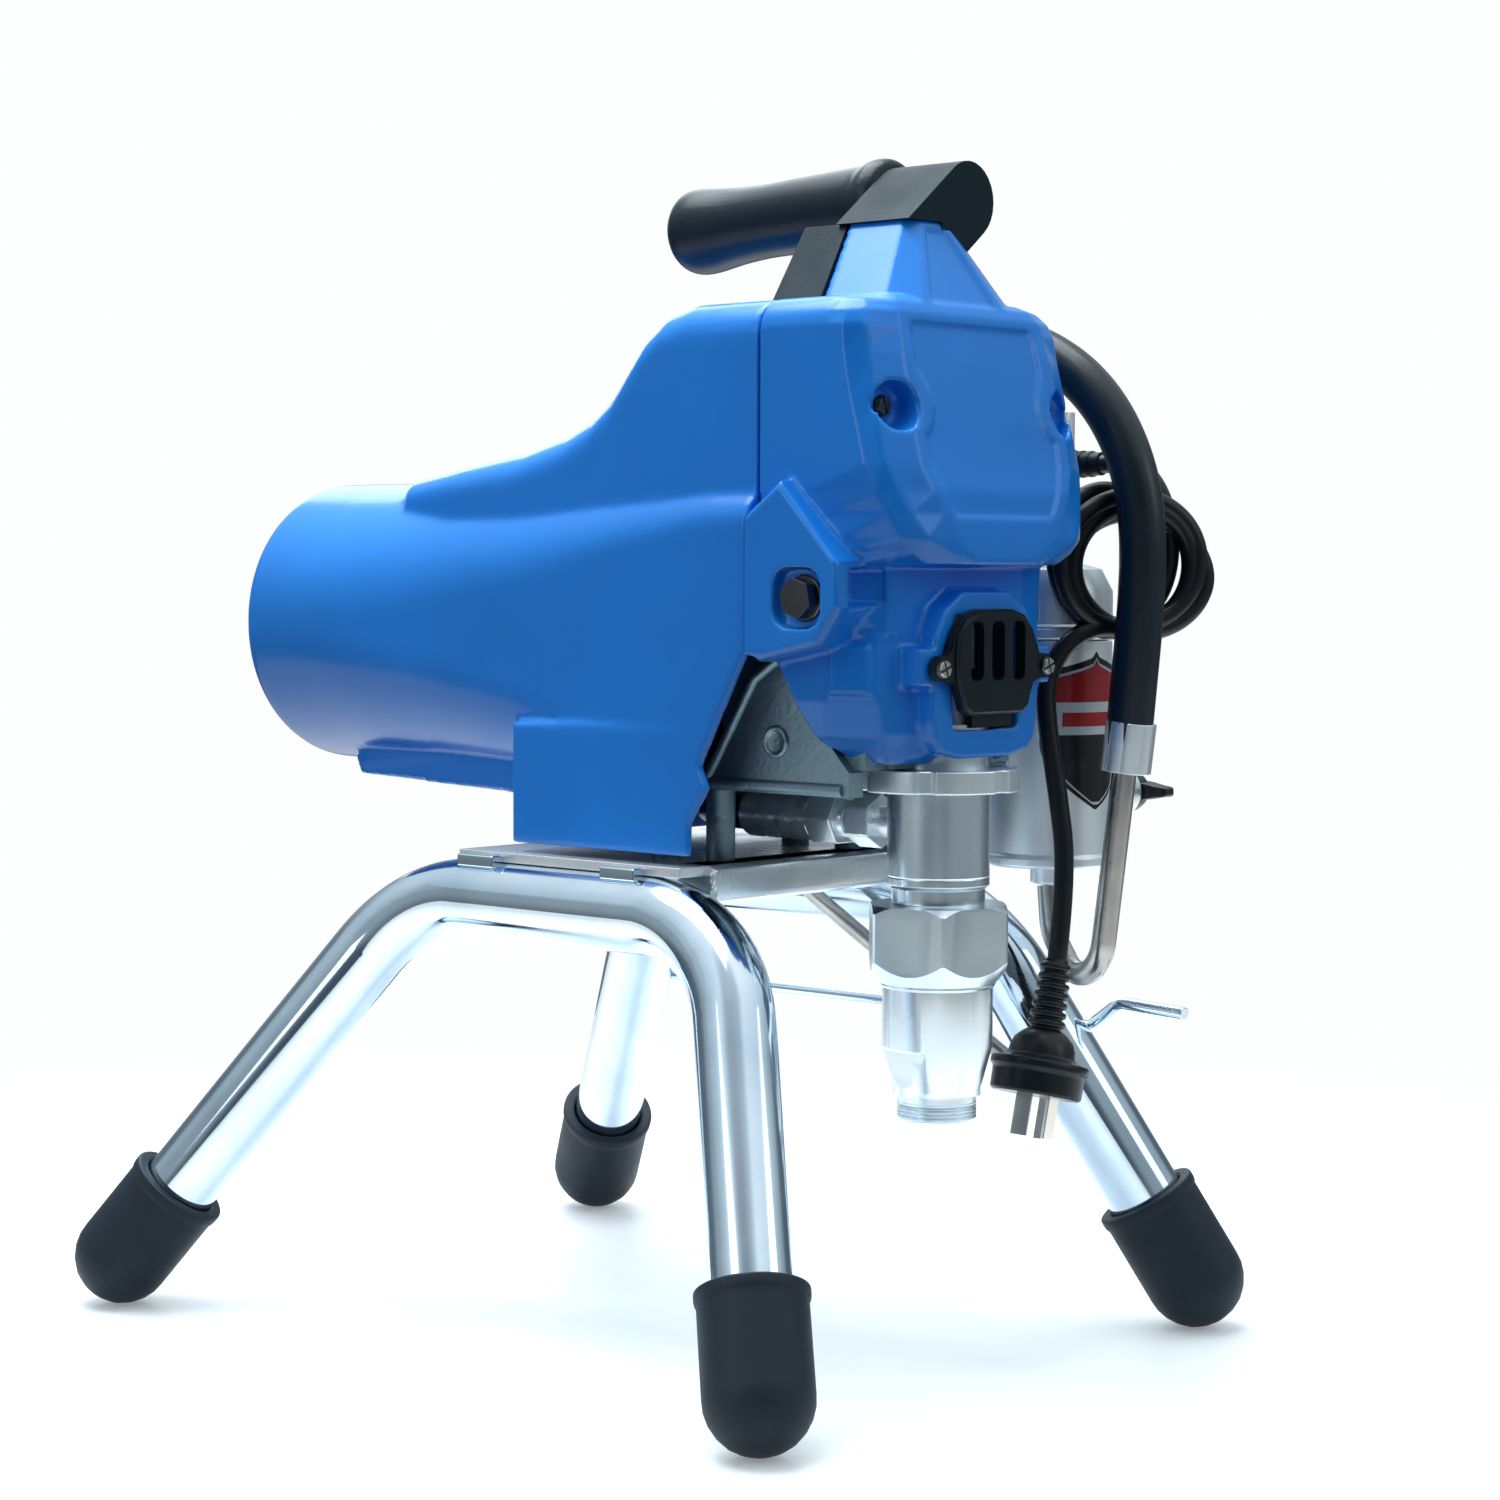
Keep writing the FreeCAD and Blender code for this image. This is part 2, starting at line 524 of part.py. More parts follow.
# Fluid section -------------------------------------------------------------------------------------
def make_fluid_section():
    port_y = z.pump_y + z.cylinder_radius - 1
    adapter = cylinder(6.0, 12.0, (0, port_y, 205), ALONG_Y)
    barrel = cut(adapter, cylinder(z.cylinder_radius, 60.0, (0, z.pump_y, 180)))
    first_nut = padded(regular(6, as_size(10.5)), 11.0, (0, port_y + 9, 205), ALONG_Y, 30)
    collar = cylinder(7.2, 9.0, (0, port_y + 20, 205), ALONG_Y)
    second_nut = padded(regular(6, as_size(10.8)), 13.0, (0, port_y + 27, 205), ALONG_Y)
    ferrule = cylinder(9.2, 34.0, (0, port_y + 40, 205), ALONG_Y)
    inlet = cut(cylinder(9.0, 16.0, (z.manifold_x, -100.0, 205), ALONG_Y),
                cylinder(z.manifold_radius, 60.0, (z.manifold_x, z.manifold_y, 190)))
    keep(group(fuse(barrel, first_nut, collar, second_nut, ferrule), inlet), "outlet_fittings")
    start = float(port_y) + 74
    reach = float(z.manifold_x) / 2
    hose = hose_solid([(0, start, 205), (0, -3, 205), (float(z.manifold_x), -3, 205),
                       (float(z.manifold_x), -84, 205)], z.transfer_hose_radius, radius=reach - 0.2)
    keep(plain(hose, "hose"), "transfer_hose")

    here = (z.manifold_x, z.manifold_y, 0)
    body = turned([(0, 175), (7.5, 175), (7.5, z.manifold_bottom), (z.manifold_radius + 1, z.manifold_bottom),
                   (z.manifold_radius + 1, z.manifold_bottom + 4), (z.manifold_radius, z.manifold_bottom + 5),
                   (z.manifold_radius, z.manifold_top), (18, z.manifold_top), (18, z.manifold_bottom + 7),
                   (0, z.manifold_bottom + 7)], here)
    arm = cut(box((46.0, z.manifold_y + 2, 220), (z.manifold_x, z.manifold_y + 18, 240)),
              cylinder(z.manifold_radius - 2, 80.0, (z.manifold_x, z.manifold_y, 200)))
    sockets = [cylinder(z.drain_tube_radius, 8.0, (z.manifold_x, z.manifold_y, 174))]
    keep(cut(fuse(body, arm), *sockets), "filter_housing")
    keep(turned([(0, z.manifold_top + 4), (17.9, z.manifold_top + 4), (17.9, z.manifold_top - 6),
                 (15, z.manifold_top - 6), (15, z.manifold_top - 8), (18, z.manifold_top - 8),
                 (18, z.manifold_top), (z.manifold_radius, z.manifold_top), (z.manifold_radius, z.cap_top - 10),
                 (z.manifold_radius - 5, z.cap_top - 2), (11, z.cap_top), (0, z.cap_top)], here), "filter_cap")
    keep(ring(13.0, 6.0, z.manifold_bottom + 7, z.manifold_top - 9, here), "filter_element")

    badge = Part.makeCylinder(float(z.manifold_radius) + 0.6, 54.0).cut(
        Part.makeCylinder(float(z.manifold_radius), 54.0))
    shield = [(-20, 54), (-20, 20), (0, 0), (20, 20), (20, 54), (0, 54)]
    corners = [Vector(0, across, up) for across, up in shield]
    shield_solid = Part.Face(Part.makePolygon(corners + corners[:1])).extrude(Vector(40, 0, 0))
    item = plain(badge.common(shield_solid), "badge")
    item.Placement = Placement(Vector(float(z.manifold_x), float(z.manifold_y), 206.0),
                               Rotation(Vector(0, 0, 1), 228.0))
    keep(item, "filter_badge")

    valve = cut(cylinder(10.0, 18.5, (110.0, z.valve_y, z.valve_height), ALONG_X),
                cylinder(z.manifold_radius, 60.0, (z.manifold_x, z.manifold_y, 190)),
                cylinder(4.0 + z.running_gap, 14.0, (121.0, z.valve_y, z.valve_height), ALONG_X))
    keep(valve, "prime_valve_body")
    stem = cylinder(4.0, 12.0, (121.5, z.valve_y, z.valve_height), ALONG_X)
    hub = cylinder(8.5, 11.0, (128.8, z.valve_y, z.valve_height), ALONG_X)
    wing = box((130.3, z.valve_y - 19, z.valve_height - 3.2), (138.3, z.valve_y - 4, z.valve_height + 3.2))
    keep(fuse(stem, hub, wing), "prime_lever")

    nipple_low = cut(padded(regular(6, as_size(9.5)), 16.0, (112.0, -110.0, 238.0), ALONG_X),
                     cylinder(z.manifold_radius, 60.0, (z.manifold_x, z.manifold_y, 200)))
    nipple = cylinder(6.7, 13.0, (127.5, -110.0, 238.0), ALONG_X)
    keep(cut(fuse(nipple_low, nipple), cylinder(3.0, 30.0, (122.0, -110.0, 238.0), ALONG_X)), "spray_outlet")
    keep(cut(fuse(cylinder(9.0, 16.0, (88.0, -104.0, 256), ALONG_Y), cylinder(5.5, 12.0, (88.0, -89.0, 256), ALONG_Y)),
             cylinder(z.manifold_radius, 60.0, (z.manifold_x, z.manifold_y, 220))), "pressure_sensor")

    drain = hose_solid([(z.manifold_x, z.manifold_y, 174.5), (94.6, -125, 156), (86, -159, 126),
                        (83.6, -169, 236)], z.drain_tube_radius, radius=15.5)
    keep(plain(drain, "tube"), "drain_tube")
    lean = Vector(-0.4, -11, 103)
    ferrule_base = (83.65, -167.6, 222.9)
    keep(ring(10.6, z.drain_hose_radius, 1.5, 21, ferrule_base, tuple(lean)), "drain_ferrule")
    plug_ring = ring(z.drain_hose_radius, z.drain_tube_radius, 0, 0.9, ferrule_base, tuple(lean))
    route = [(83.65, -167.7, 223.9), (83.3, -171.6, 260), (83, -176, 294), (82.4, -175.0, 334),
             (81.5, -155.0, 370), (80.2, -118, 391), (80, -78, 390), (80, -44, 369), (80, -27, 333),
             (80, -25, 296)]
    keep(plain(hose_solid(route, z.drain_hose_radius, z.drain_tube_radius), "hose"), "drain_hose")
    doc.removeObject(plug_ring.Name)
    holder = ring(12.5, z.drain_hose_radius, 290, 312, (80, -25, 0))
    cup_floor = cylinder(12.5, 3.0, (80, -25, 287))
    arm = cut(box((64.0, -31, 292), (80, -19, 308)), cylinder(10.0, 30.0, (80, -25, 290)))
    keep(fuse(holder, cup_floor, arm), "hose_holder")


# Controls ------------------------------------------------------------------------------------------
def make_controls():
    shell = box((z.box_left, z.box_front_y, z.box_bottom), (z.box_right, z.box_rear_y, z.box_top))
    inside = box((z.box_left + 3, z.box_front_y + 5, z.box_bottom + 3),
                 (z.box_right - 3, z.box_rear_y - 3, z.box_top - 3))
    boss = box((60.3, -96, 334), (z.box_left + 1, -72, 352))
    grooves = []
    for index in range(5):
        left = float(z.box_left) + 14 + 7.5 * index
        grooves.append(box((left, z.box_front_y - 1, z.box_bottom + 4), (left + 2, z.box_front_y + 2.5, 363)))
    knob_y = z.knob_y
    shaft_hole = cylinder(3.0 + z.running_gap, 10.0, (z.box_right - 5, knob_y, 334), ALONG_X)
    rocker_hole = box((z.box_right - 4, -108, 324), (z.box_right + 1, -96, 346))
    keep(cut(fuse(shell, boss), inside, shaft_hole, rocker_hole, *grooves), "control_box")
    board = box((z.box_left + 12, z.box_front_y + 9, z.box_bottom + 9),
                (z.box_left + 14, z.box_rear_y - 7, z.box_top - 9))
    blocks = [box((z.box_left + 13.5, -100 + 13 * index, 316), (z.box_left + 22, -92 + 13 * index, 330))
              for index in range(3)]
    keep(fuse(board, *blocks), "control_board")
    hub = cylinder(z.knob_radius, 14.0, (z.box_right + 0.4, knob_y, 334), ALONG_X)
    stem = cylinder(3.0, 8.0, (z.box_right - 6, knob_y, 334), ALONG_X)
    pointer = box((z.box_right + 14, as_size(knob_y) - 1.2, 334), (z.box_right + 15.4, as_size(knob_y) + 1.2, 345.5))
    keep(fuse(hub, stem, pointer), "pressure_knob")
    outline = [(-3.5, 0), (-3.5, 3.2), (0, 1.6), (3.5, 1.6), (3.5, 0)]
    rocker = padded([(across * 2.6, up) for across, up in outline], 10.0,
                    (z.box_right + 0.3, -107.0, 335), FORWARD)
    rocker.Placement = Placement(Vector(float(z.box_right) - 1.2, -97.0, 335.0),
                                 Rotation(Vector(0, 1, 0), 90) * Rotation(Vector(1, 0, 0), 90))
    keep(rocker, "power_switch")
    gland = turned([(0, 0), (7.0, 0), (7.0, 5), (5.2, 6), (4.7, 20), (0, 20)],
                   (110, z.box_front_y, 341), FORWARD)
    keep(gland, "cord_gland")


plug_direction = Vector(-13.1, 0, -50.6).normalize()
relief_top = Vector(57.9, -155, 151)


def make_cord():
    lead = hose_solid([(110, -136, 341), (110.5, -146, 341.3), (108.5, -155, 340.5), (102.5, -161.5, 338.5),
                       (94, -163, 335)], z.cord_radius)
    drop = hose_solid([(64, -142.5, 312), (62.5, -143.5, 296), (61.8, -146, 272), (62.6, -150, 246),
                       (63.5, -153, 216), (63.3, -155.5, 184), tuple(relief_top)], z.cord_radius)
    keep(group(plain(lead, "lead"), plain(drop, "drop")), "power_cord")
    coil_back = Vector(0.513, 0.858, 0)
    coil_front = Vector(float(z.coil_x), float(z.coil_y), float(z.coil_height)) - coil_back * 7.0
    keep(cylinder(z.coil_radius, z.coil_depth, tuple(coil_front), tuple(coil_back)), "cord_coil")
    body = turned([(0, 0), (4.6, 0), (5.2, 4), (6.6, 26), (10, 29), (12.5, 34), (13, 37), (18.5, 39), (18.8, 42),
                   (17.6, 44), (17.6, 52.3), (0, 52.3)], tuple(relief_top), tuple(plug_direction))
    keep(body, "plug_body")
    pins = []
    for across, turn in ((-6.5, 25), (6.5, -25)):
        blade = Part.makeBox(1.6, 6.3, 16.0, Vector(-0.8, -3.15, 0))
        blade.rotate(Vector(0, 0, 0), Vector(0, 0, 1), turn)
        blade.translate(Vector(across, 0, 52.3))
        pins.append(blade)
    earth = Part.makeBox(1.6, 6.3, 16.0, Vector(-0.8, -3.15, 0))
    earth.rotate(Vector(0, 0, 0), Vector(0, 0, 1), 90)
    earth.translate(Vector(0, -8.5, 52.3))
    pins.append(earth)
    item = plain(Part.makeCompound(pins), "pins")
    item.Placement = Placement(relief_top, Rotation(Vector(0, 0, 1), plug_direction))
    keep(item, "plug_pins")


# Covers --------------------------------------------------------------------------------------------
def rounded_section(half_width, low, high, radius, along, count=6):
    """Corner points of a rounded rectangle in the XZ plane at one place along Y."""
    corners = []
    for across, up, start in ((1, 1, 0), (-1, 1, 90), (-1, -1, 180), (1, -1, 270)):
        centre_x = across * (half_width - radius)
        centre_z = high - radius if up > 0 else low + radius
        for index in range(count + 1):
            angle = math.radians(start + 90.0 * index / count)
            corners.append((centre_x + radius * math.cos(angle), along, centre_z + radius * math.sin(angle)))
    return corners


def shroud_solid(inset):
    """Motor barrel growing into the gear case, with the raised spine and the skirt below."""
    radius = float(z.shroud_end_radius)
    middle = float(z.motor_height)
    seam = float(z.seam_y)
    rear = float(z.shroud_end_y) - inset
    front = seam - (2 if inset else 0)
    body = section_loft([
        rounded_section(radius - 5 - inset, middle - radius + 5 + inset, middle + radius - 5 - inset,
                        radius - 6 - inset, rear),
        rounded_section(radius - inset, middle - radius + inset, middle + radius - inset,
                        radius - 1 - inset, rear - 6),
        rounded_section(62.5 - inset, middle - 61 + inset, middle + 58 - inset, 50 - inset, 60),
        rounded_section(66 - inset, middle - 62 + inset, middle + 52 - inset, 16, -60),
        rounded_section(66.5 - inset, middle - 62 + inset, middle + 51 - inset, 12, front)])
    spine_line = [(100, 326), (20, 347), (-5, 356), (-28, 368), (-40, 382), (-52, 391), (-66, 396), (seam, 397)]
    spine_half = [(100, 40), (20, 52), (-5, 54), (-28, 57), (-40, 58), (-52, 59), (-66, 60), (seam, 60)]
    sections = []
    for (along, top), (_, half) in zip(spine_line, spine_half):
        place_y = along if along != seam else front
        sections.append(rounded_section(half - inset, 280, top - inset, 9 if inset else 12, place_y))
    spine = section_loft(sections)
    skirt = Part.makeBox(2 * (65.5 - inset), 104 - inset, 60,
                         Vector(-65.5 + inset, -88, float(z.skirt_bottom) - (5 if inset else 0)))
    solid = body.fuse([spine, skirt])
    return solid


def make_shroud():
    wall = float(z.cover_wall)
    shell = shroud_solid(0.0).cut(shroud_solid(wall))
    edge = [(-200, 271), (-107.5, 271), (-84, 227), (-88, 219), (-78, 205), (-78, 150), (-200, 150)]
    corners = [Vector(-100, along, up) for along, up in edge]
    front_notch = Part.Face(Part.makePolygon(corners + corners[:1])).extrude(Vector(200, 0, 0))
    ahead = Part.makeBox(300, 200, 400, Vector(-150, float(z.seam_y) - 200, 100))
    hose_window = Part.makeBox(20, 70, 20, Vector(55, -40, 196))
    handle_window = Part.makeBox(52, 20, 20, Vector(-26, float(z.seam_y) - 2, 385))
    shell = shell.cut([front_notch, ahead, hose_window, handle_window])
    slots = []
    for index in range(7):
        across = -30 + 10 * index
        half_height = math.sqrt(40.0 ** 2 - across ** 2)
        slots.append(Part.makeBox(4, 20, 2 * half_height,
                                  Vector(across - 2, float(z.shroud_end_y) - 12,
                                         float(z.motor_height) - half_height)))
    shell = shell.cut(slots)
    keep(plain(shell, "shroud"), "motor_shroud")


def prism(outline, low_x, high_x):
    corners = [Vector(low_x, along, up) for along, up in outline]
    return Part.Face(Part.makePolygon(corners + corners[:1])).extrude(Vector(high_x - low_x, 0, 0))


def front_prism(outline, low_y, high_y):
    """A prism along Y with a mirror-symmetric outline, given by its right half as (x, z)."""
    whole = list(outline) + [(-across, up) for across, up in reversed(outline)]
    corners = [Vector(across, low_y, up) for across, up in whole]
    return Part.Face(Part.makePolygon(corners + corners[:1])).extrude(Vector(0, high_y - low_y, 0))


def cover_solid(inset):
    """The gear case cover: a rounded box above, a faceted bowl below, a raised panel in front."""
    seam = float(z.seam_y) + (12 if inset else 0)
    half = float(z.cover_half_width) - inset
    top = float(z.cover_top) - inset

    def level(up, half_width, front, chamfer):
        half_width = half_width - inset
        front = front + inset
        return [(half_width, seam, up), (half_width, front + chamfer, up),
                (half_width - chamfer, front, up), (chamfer - half_width, front, up),
                (-half_width, front + chamfer, up), (-half_width, seam, up)]

    upper = section_loft([rounded_section(half, 328 + inset, top, 10, seam),
                          rounded_section(half, 328 + inset, top, 10, -144 + inset / 2)])
    brow = section_loft([rounded_section(half, 328 + inset, top, 10, -144 + inset / 2),
                         rounded_section(half - 7, 335, top - 7, 8, -151 + inset)])
    middle = section_loft([level(344, 60, -152, 8), level(326, 60, -157, 12), level(300, 50, -166, 23)])
    bowl = section_loft([level(300, 50, -166, 23), level(262, 51, -166, 24)])
    chin = section_loft([level(262, 51, -166, 24), level(240, 50, -165, 24),
                         level(220 if inset else 228, 43, -160, 19)])
    lug_outline = [(seam, 316 - inset), (-124 + inset / 2, 331 - inset), (-151 + inset, 302 - inset),
                   (-152 + inset, 286), (-142 + inset, 272 + inset), (-114 + inset, 262 + inset),
                   (seam, 262 + inset)]
    lug = prism(lug_outline, -68 + inset, -40)
    low = 301 + inset
    side_view = [(-140, 391 - inset), (-156.6 + inset, 391 - inset), (-160 + inset, 378), (-170 + inset, 337),
                 (-174.5 + inset, low), (-140, low)]
    front_view = [(39 - inset, 391 - inset), (43 - inset, 378), (43.6 - inset, 337), (36 - inset, 314),
                  (22.6 - inset, low)]
    panel = prism(side_view, -60, 60).common(front_prism(front_view, -180, -139))
    return upper.fuse([brow, middle, bowl, chin, lug, panel])


def tower_solid(inset):
    base = [(38, -117), (38, -147), (24, -154.5), (-24, -154.5), (-38, -147), (-38, -117)]
    crest = [(13, -110), (13, -135.5), (7, -138.5), (-7, -138.5), (-13, -135.5), (-13, -110)]

    def shrink(corners, up):
        return [(across - math.copysign(inset, across), along + (inset if along < -120 else -inset), up)
                for across, along in corners]

    return section_loft([shrink(base, 393 - inset * 3), shrink(crest, float(z.tower_top) - inset)])


def make_front_cover():
    wall = float(z.cover_wall)
    shell = cover_solid(0.0).fuse(tower_solid(0.0)).cut(cover_solid(wall))
    behind = Part.makeBox(300, 200, 400, Vector(-150, float(z.seam_y) + 0.3, 100))
    guard_window = Part.makeBox(38, 30, 52, Vector(-19, -185, 237))
    pump_way = Part.makeCylinder(float(z.cylinder_radius) + 2, 41, Vector(0, float(z.pump_y), 202))
    rear_edge = [(-100, 268), (-112, 268), (-128, 237), (-141, 228), (-141, 210), (-90, 210), (-90, 268)]
    casting_way = prism(rear_edge, -90, 90)
    screw_holes = []
    for side in (-1, 1):
        screw_holes.append(Part.makeCylinder(5.5, 12, Vector(side * 47.3, -154.0, 357), Vector(0, -1, 0)))
        screw_holes.append(Part.makeCylinder(2.0, 20, Vector(side * 47.3, -140.0, 357), Vector(0, -1, 0)))
    bolt_recess = Part.makeCylinder(10.5, 10, Vector(-62.5, -132.5, 289), Vector(-1, 0, 0))
    bolt_hole = Part.makeCylinder(4.0, 40, Vector(-30, -132.5, 289), Vector(-1, 0, 0))
    handle_window = Part.makeBox(52, 30, 14, Vector(-26, -117, 388))
    shell = shell.cut([behind, casting_way, guard_window, pump_way, bolt_recess, bolt_hole, handle_window] + screw_holes)
    solids = sorted(shell.Solids, key=lambda solid: -solid.Volume)
    keep(plain(solids[0], "cover"), "front_cover")

    plate = section_loft([
        [(-20, -166.3, 285), (-24, -166.3, 277), (-24, -166.3, 246), (-20, -166.3, 241), (20, -166.3, 241),
         (24, -166.3, 246), (24, -166.3, 277), (20, -166.3, 285)],
        [(-18, -172.5, 283), (-22, -172.5, 276), (-22, -172.5, 247), (-18, -172.5, 243), (18, -172.5, 243),
         (22, -172.5, 247), (22, -172.5, 276), (18, -172.5, 283)]])
    ears = Part.makeBox(69, 3, 13, Vector(-34.5, -169.3, 257.5))
    slots = [Part.makeBox(5.5, 12, 24, Vector(across - 2.75, -176, 254)) for across in (-11.5, 0, 11.5)]
    keep(plain(plate.fuse(ears).cut(slots), "guard"), "pump_guard")

    pieces = []
    for side in (-1, 1):
        head = Part.makeCylinder(4.0, 2.6, Vector(side * 47.3, -154.0, 357), Vector(0, -1, 0))
        pieces.append(head.fuse(Part.makeCylinder(2.0, 8, Vector(side * 47.3, -146.2, 357), Vector(0, -1, 0))))
        head = Part.makeCylinder(3.6, 2.2, Vector(side * 30.6, -169.3, 263.7), Vector(0, -1, 0))
        pieces.append(head)
    bolt = Part.makeCylinder(4.0, 22, Vector(-42, -132.5, 289), Vector(-1, 0, 0))
    hexagon = [Vector(-62.5, -132.5 + 7.5 * math.cos(math.radians(60 * index)),
                      289 + 7.5 * math.sin(math.radians(60 * index))) for index in range(6)]
    head = Part.Face(Part.makePolygon(hexagon + hexagon[:1])).extrude(Vector(-6.5, 0, 0))
    pieces.append(bolt.fuse(head))
    keep(plain(Part.makeCompound(pieces), "fasteners"), "cover_fasteners")


# Handle ----------------------------------------------------------------------------------------------
def make_handle():
    tower_top = float(z.tower_top)
    front = float(z.arm_front_y)
    rear = float(z.grip_front_y)
    block = section_loft([[(26, -109.5, 386.3), (26, -91, 386.3), (-26, -91, 386.3), (-26, -109.5, 386.3)],
                          [(13, -109.7, tower_top), (13, -88, tower_top), (-13, -88, tower_top),
                           (-13, -109.7, tower_top)]])
    grip_x = float(z.grip_x)
    height = float(z.grip_height)
    lean = Vector(33, 0, 26).normalize()
    across = Vector(-lean.z, 0, lean.x)
    end = Vector(grip_x, 0, height - 1)
    start = end - lean * 42
    corners = [start + across * 14.5, end + across * 14.5, end - across * 14.5, start - across * 14.5]
    corners = [Vector(corner.x, front, corner.z) for corner in corners]
    slab = Part.Face(Part.makePolygon(corners + corners[:1])).extrude(Vector(0, rear - front, 0))
    slab = slab.cut(Part.makeBox(104, 200, 80, Vector(-100, -200, tower_top - 80.2)))
    tip = Part.makeCylinder(14.5, rear - front, Vector(end.x, front, end.z), Vector(0, 1, 0))
    arm = slab.fuse(tip).fuse(block)
    arm = arm.cut([tower_solid(-0.05), Part.makeBox(200, 200, 40, Vector(-100, -200, 346.3))])
    solids = sorted(arm.Solids, key=lambda solid: -solid.Volume)
    keep(plain(solids[0], "arm"), "handle_arm")
    half = float(z.grip_radius)
    grip = turned([(0, 0), (half + 1.5, 0), (half + 2.5, 4), (half, 10), (half - 1, 40), (half - 1, 80),
                   (half + 2, 104), (half + 0.5, 114), (half - 6, 120.5), (0, z.grip_rear_y - z.grip_front_y)],
                  (z.grip_x, z.grip_front_y, z.grip_height), ALONG_Y)
    keep(grip, "handle_grip")


make_stand()
make_gears()
make_motor()
make_housing()
make_pump()
make_fluid_section()
make_controls()
make_cord()
make_shroud()
make_front_cover()
make_handle()
doc.recompute()

for item in doc.Objects:
    if "Invalid" in item.State or "Error" in item.State:
        raise RuntimeError(f"{item.Name} {item.Label} failed: {item.State}")
for item in nodes:
    if item.Shape.isNull() or not item.Shape.isValid() or item.Shape.Volume <= 0:
        raise RuntimeError(f"{item.Label} has no good shape")
os.makedirs("parts", exist_ok=True)
for item in nodes:
    item.Shape.exportStep(f"parts/{item.Label}.step")
whole = Part.makeCompound([item.Shape for item in nodes]).BoundBox
print(f"{len(nodes)} nodes, box {whole.XMin:.1f} {whole.XMax:.1f} {whole.YMin:.1f} {whole.YMax:.1f} "
      f"{whole.ZMin:.2f} {whole.ZMax:.1f}")
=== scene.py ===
import math

import bmesh
import bpy
from mathutils import Matrix, Vector


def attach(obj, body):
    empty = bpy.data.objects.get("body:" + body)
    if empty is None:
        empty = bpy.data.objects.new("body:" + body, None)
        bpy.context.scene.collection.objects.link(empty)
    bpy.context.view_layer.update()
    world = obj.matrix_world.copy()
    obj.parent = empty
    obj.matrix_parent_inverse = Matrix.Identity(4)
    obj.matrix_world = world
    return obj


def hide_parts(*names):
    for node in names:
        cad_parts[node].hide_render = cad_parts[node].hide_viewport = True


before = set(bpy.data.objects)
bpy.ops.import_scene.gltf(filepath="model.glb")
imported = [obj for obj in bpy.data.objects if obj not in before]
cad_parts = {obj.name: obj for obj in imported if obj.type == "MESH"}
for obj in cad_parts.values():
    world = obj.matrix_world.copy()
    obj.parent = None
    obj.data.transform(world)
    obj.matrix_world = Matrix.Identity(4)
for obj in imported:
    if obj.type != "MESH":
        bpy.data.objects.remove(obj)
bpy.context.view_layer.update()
scene = bpy.context.scene
MM = 0.001
UP = (0, 0, 1)
ALONG_X, ALONG_Y, BACK_X, FORWARD = (1, 0, 0), (0, 1, 0), (-1, 0, 0), (0, -1, 0)


# Camera ------------------------------------------------------------------------------------------
CAMERA_PLACE = Vector((-923.17, -890.26, 300.23)) * MM
CAMERA_RIGHT = Vector((0.67366, -0.73903, 0.00333))
CAMERA_AHEAD = Vector((0.73797, 0.67243, -0.05697))


def make_camera():
    """Looks slightly down at the front left corner."""
    camera = bpy.data.objects.new("camera", bpy.data.cameras.new("camera"))
    scene.collection.objects.link(camera)
    right, ahead = CAMERA_RIGHT.normalized(), CAMERA_AHEAD.normalized()
    up = right.cross(ahead).normalized()
    turn = Matrix((right, up, -ahead)).transposed().to_4x4()
    camera.matrix_world = Matrix.Translation(CAMERA_PLACE) @ turn
    camera.data.lens = 77.25
    camera.data.sensor_width = 36.0
    camera.data.clip_end = 50
    scene.camera = camera


make_camera()


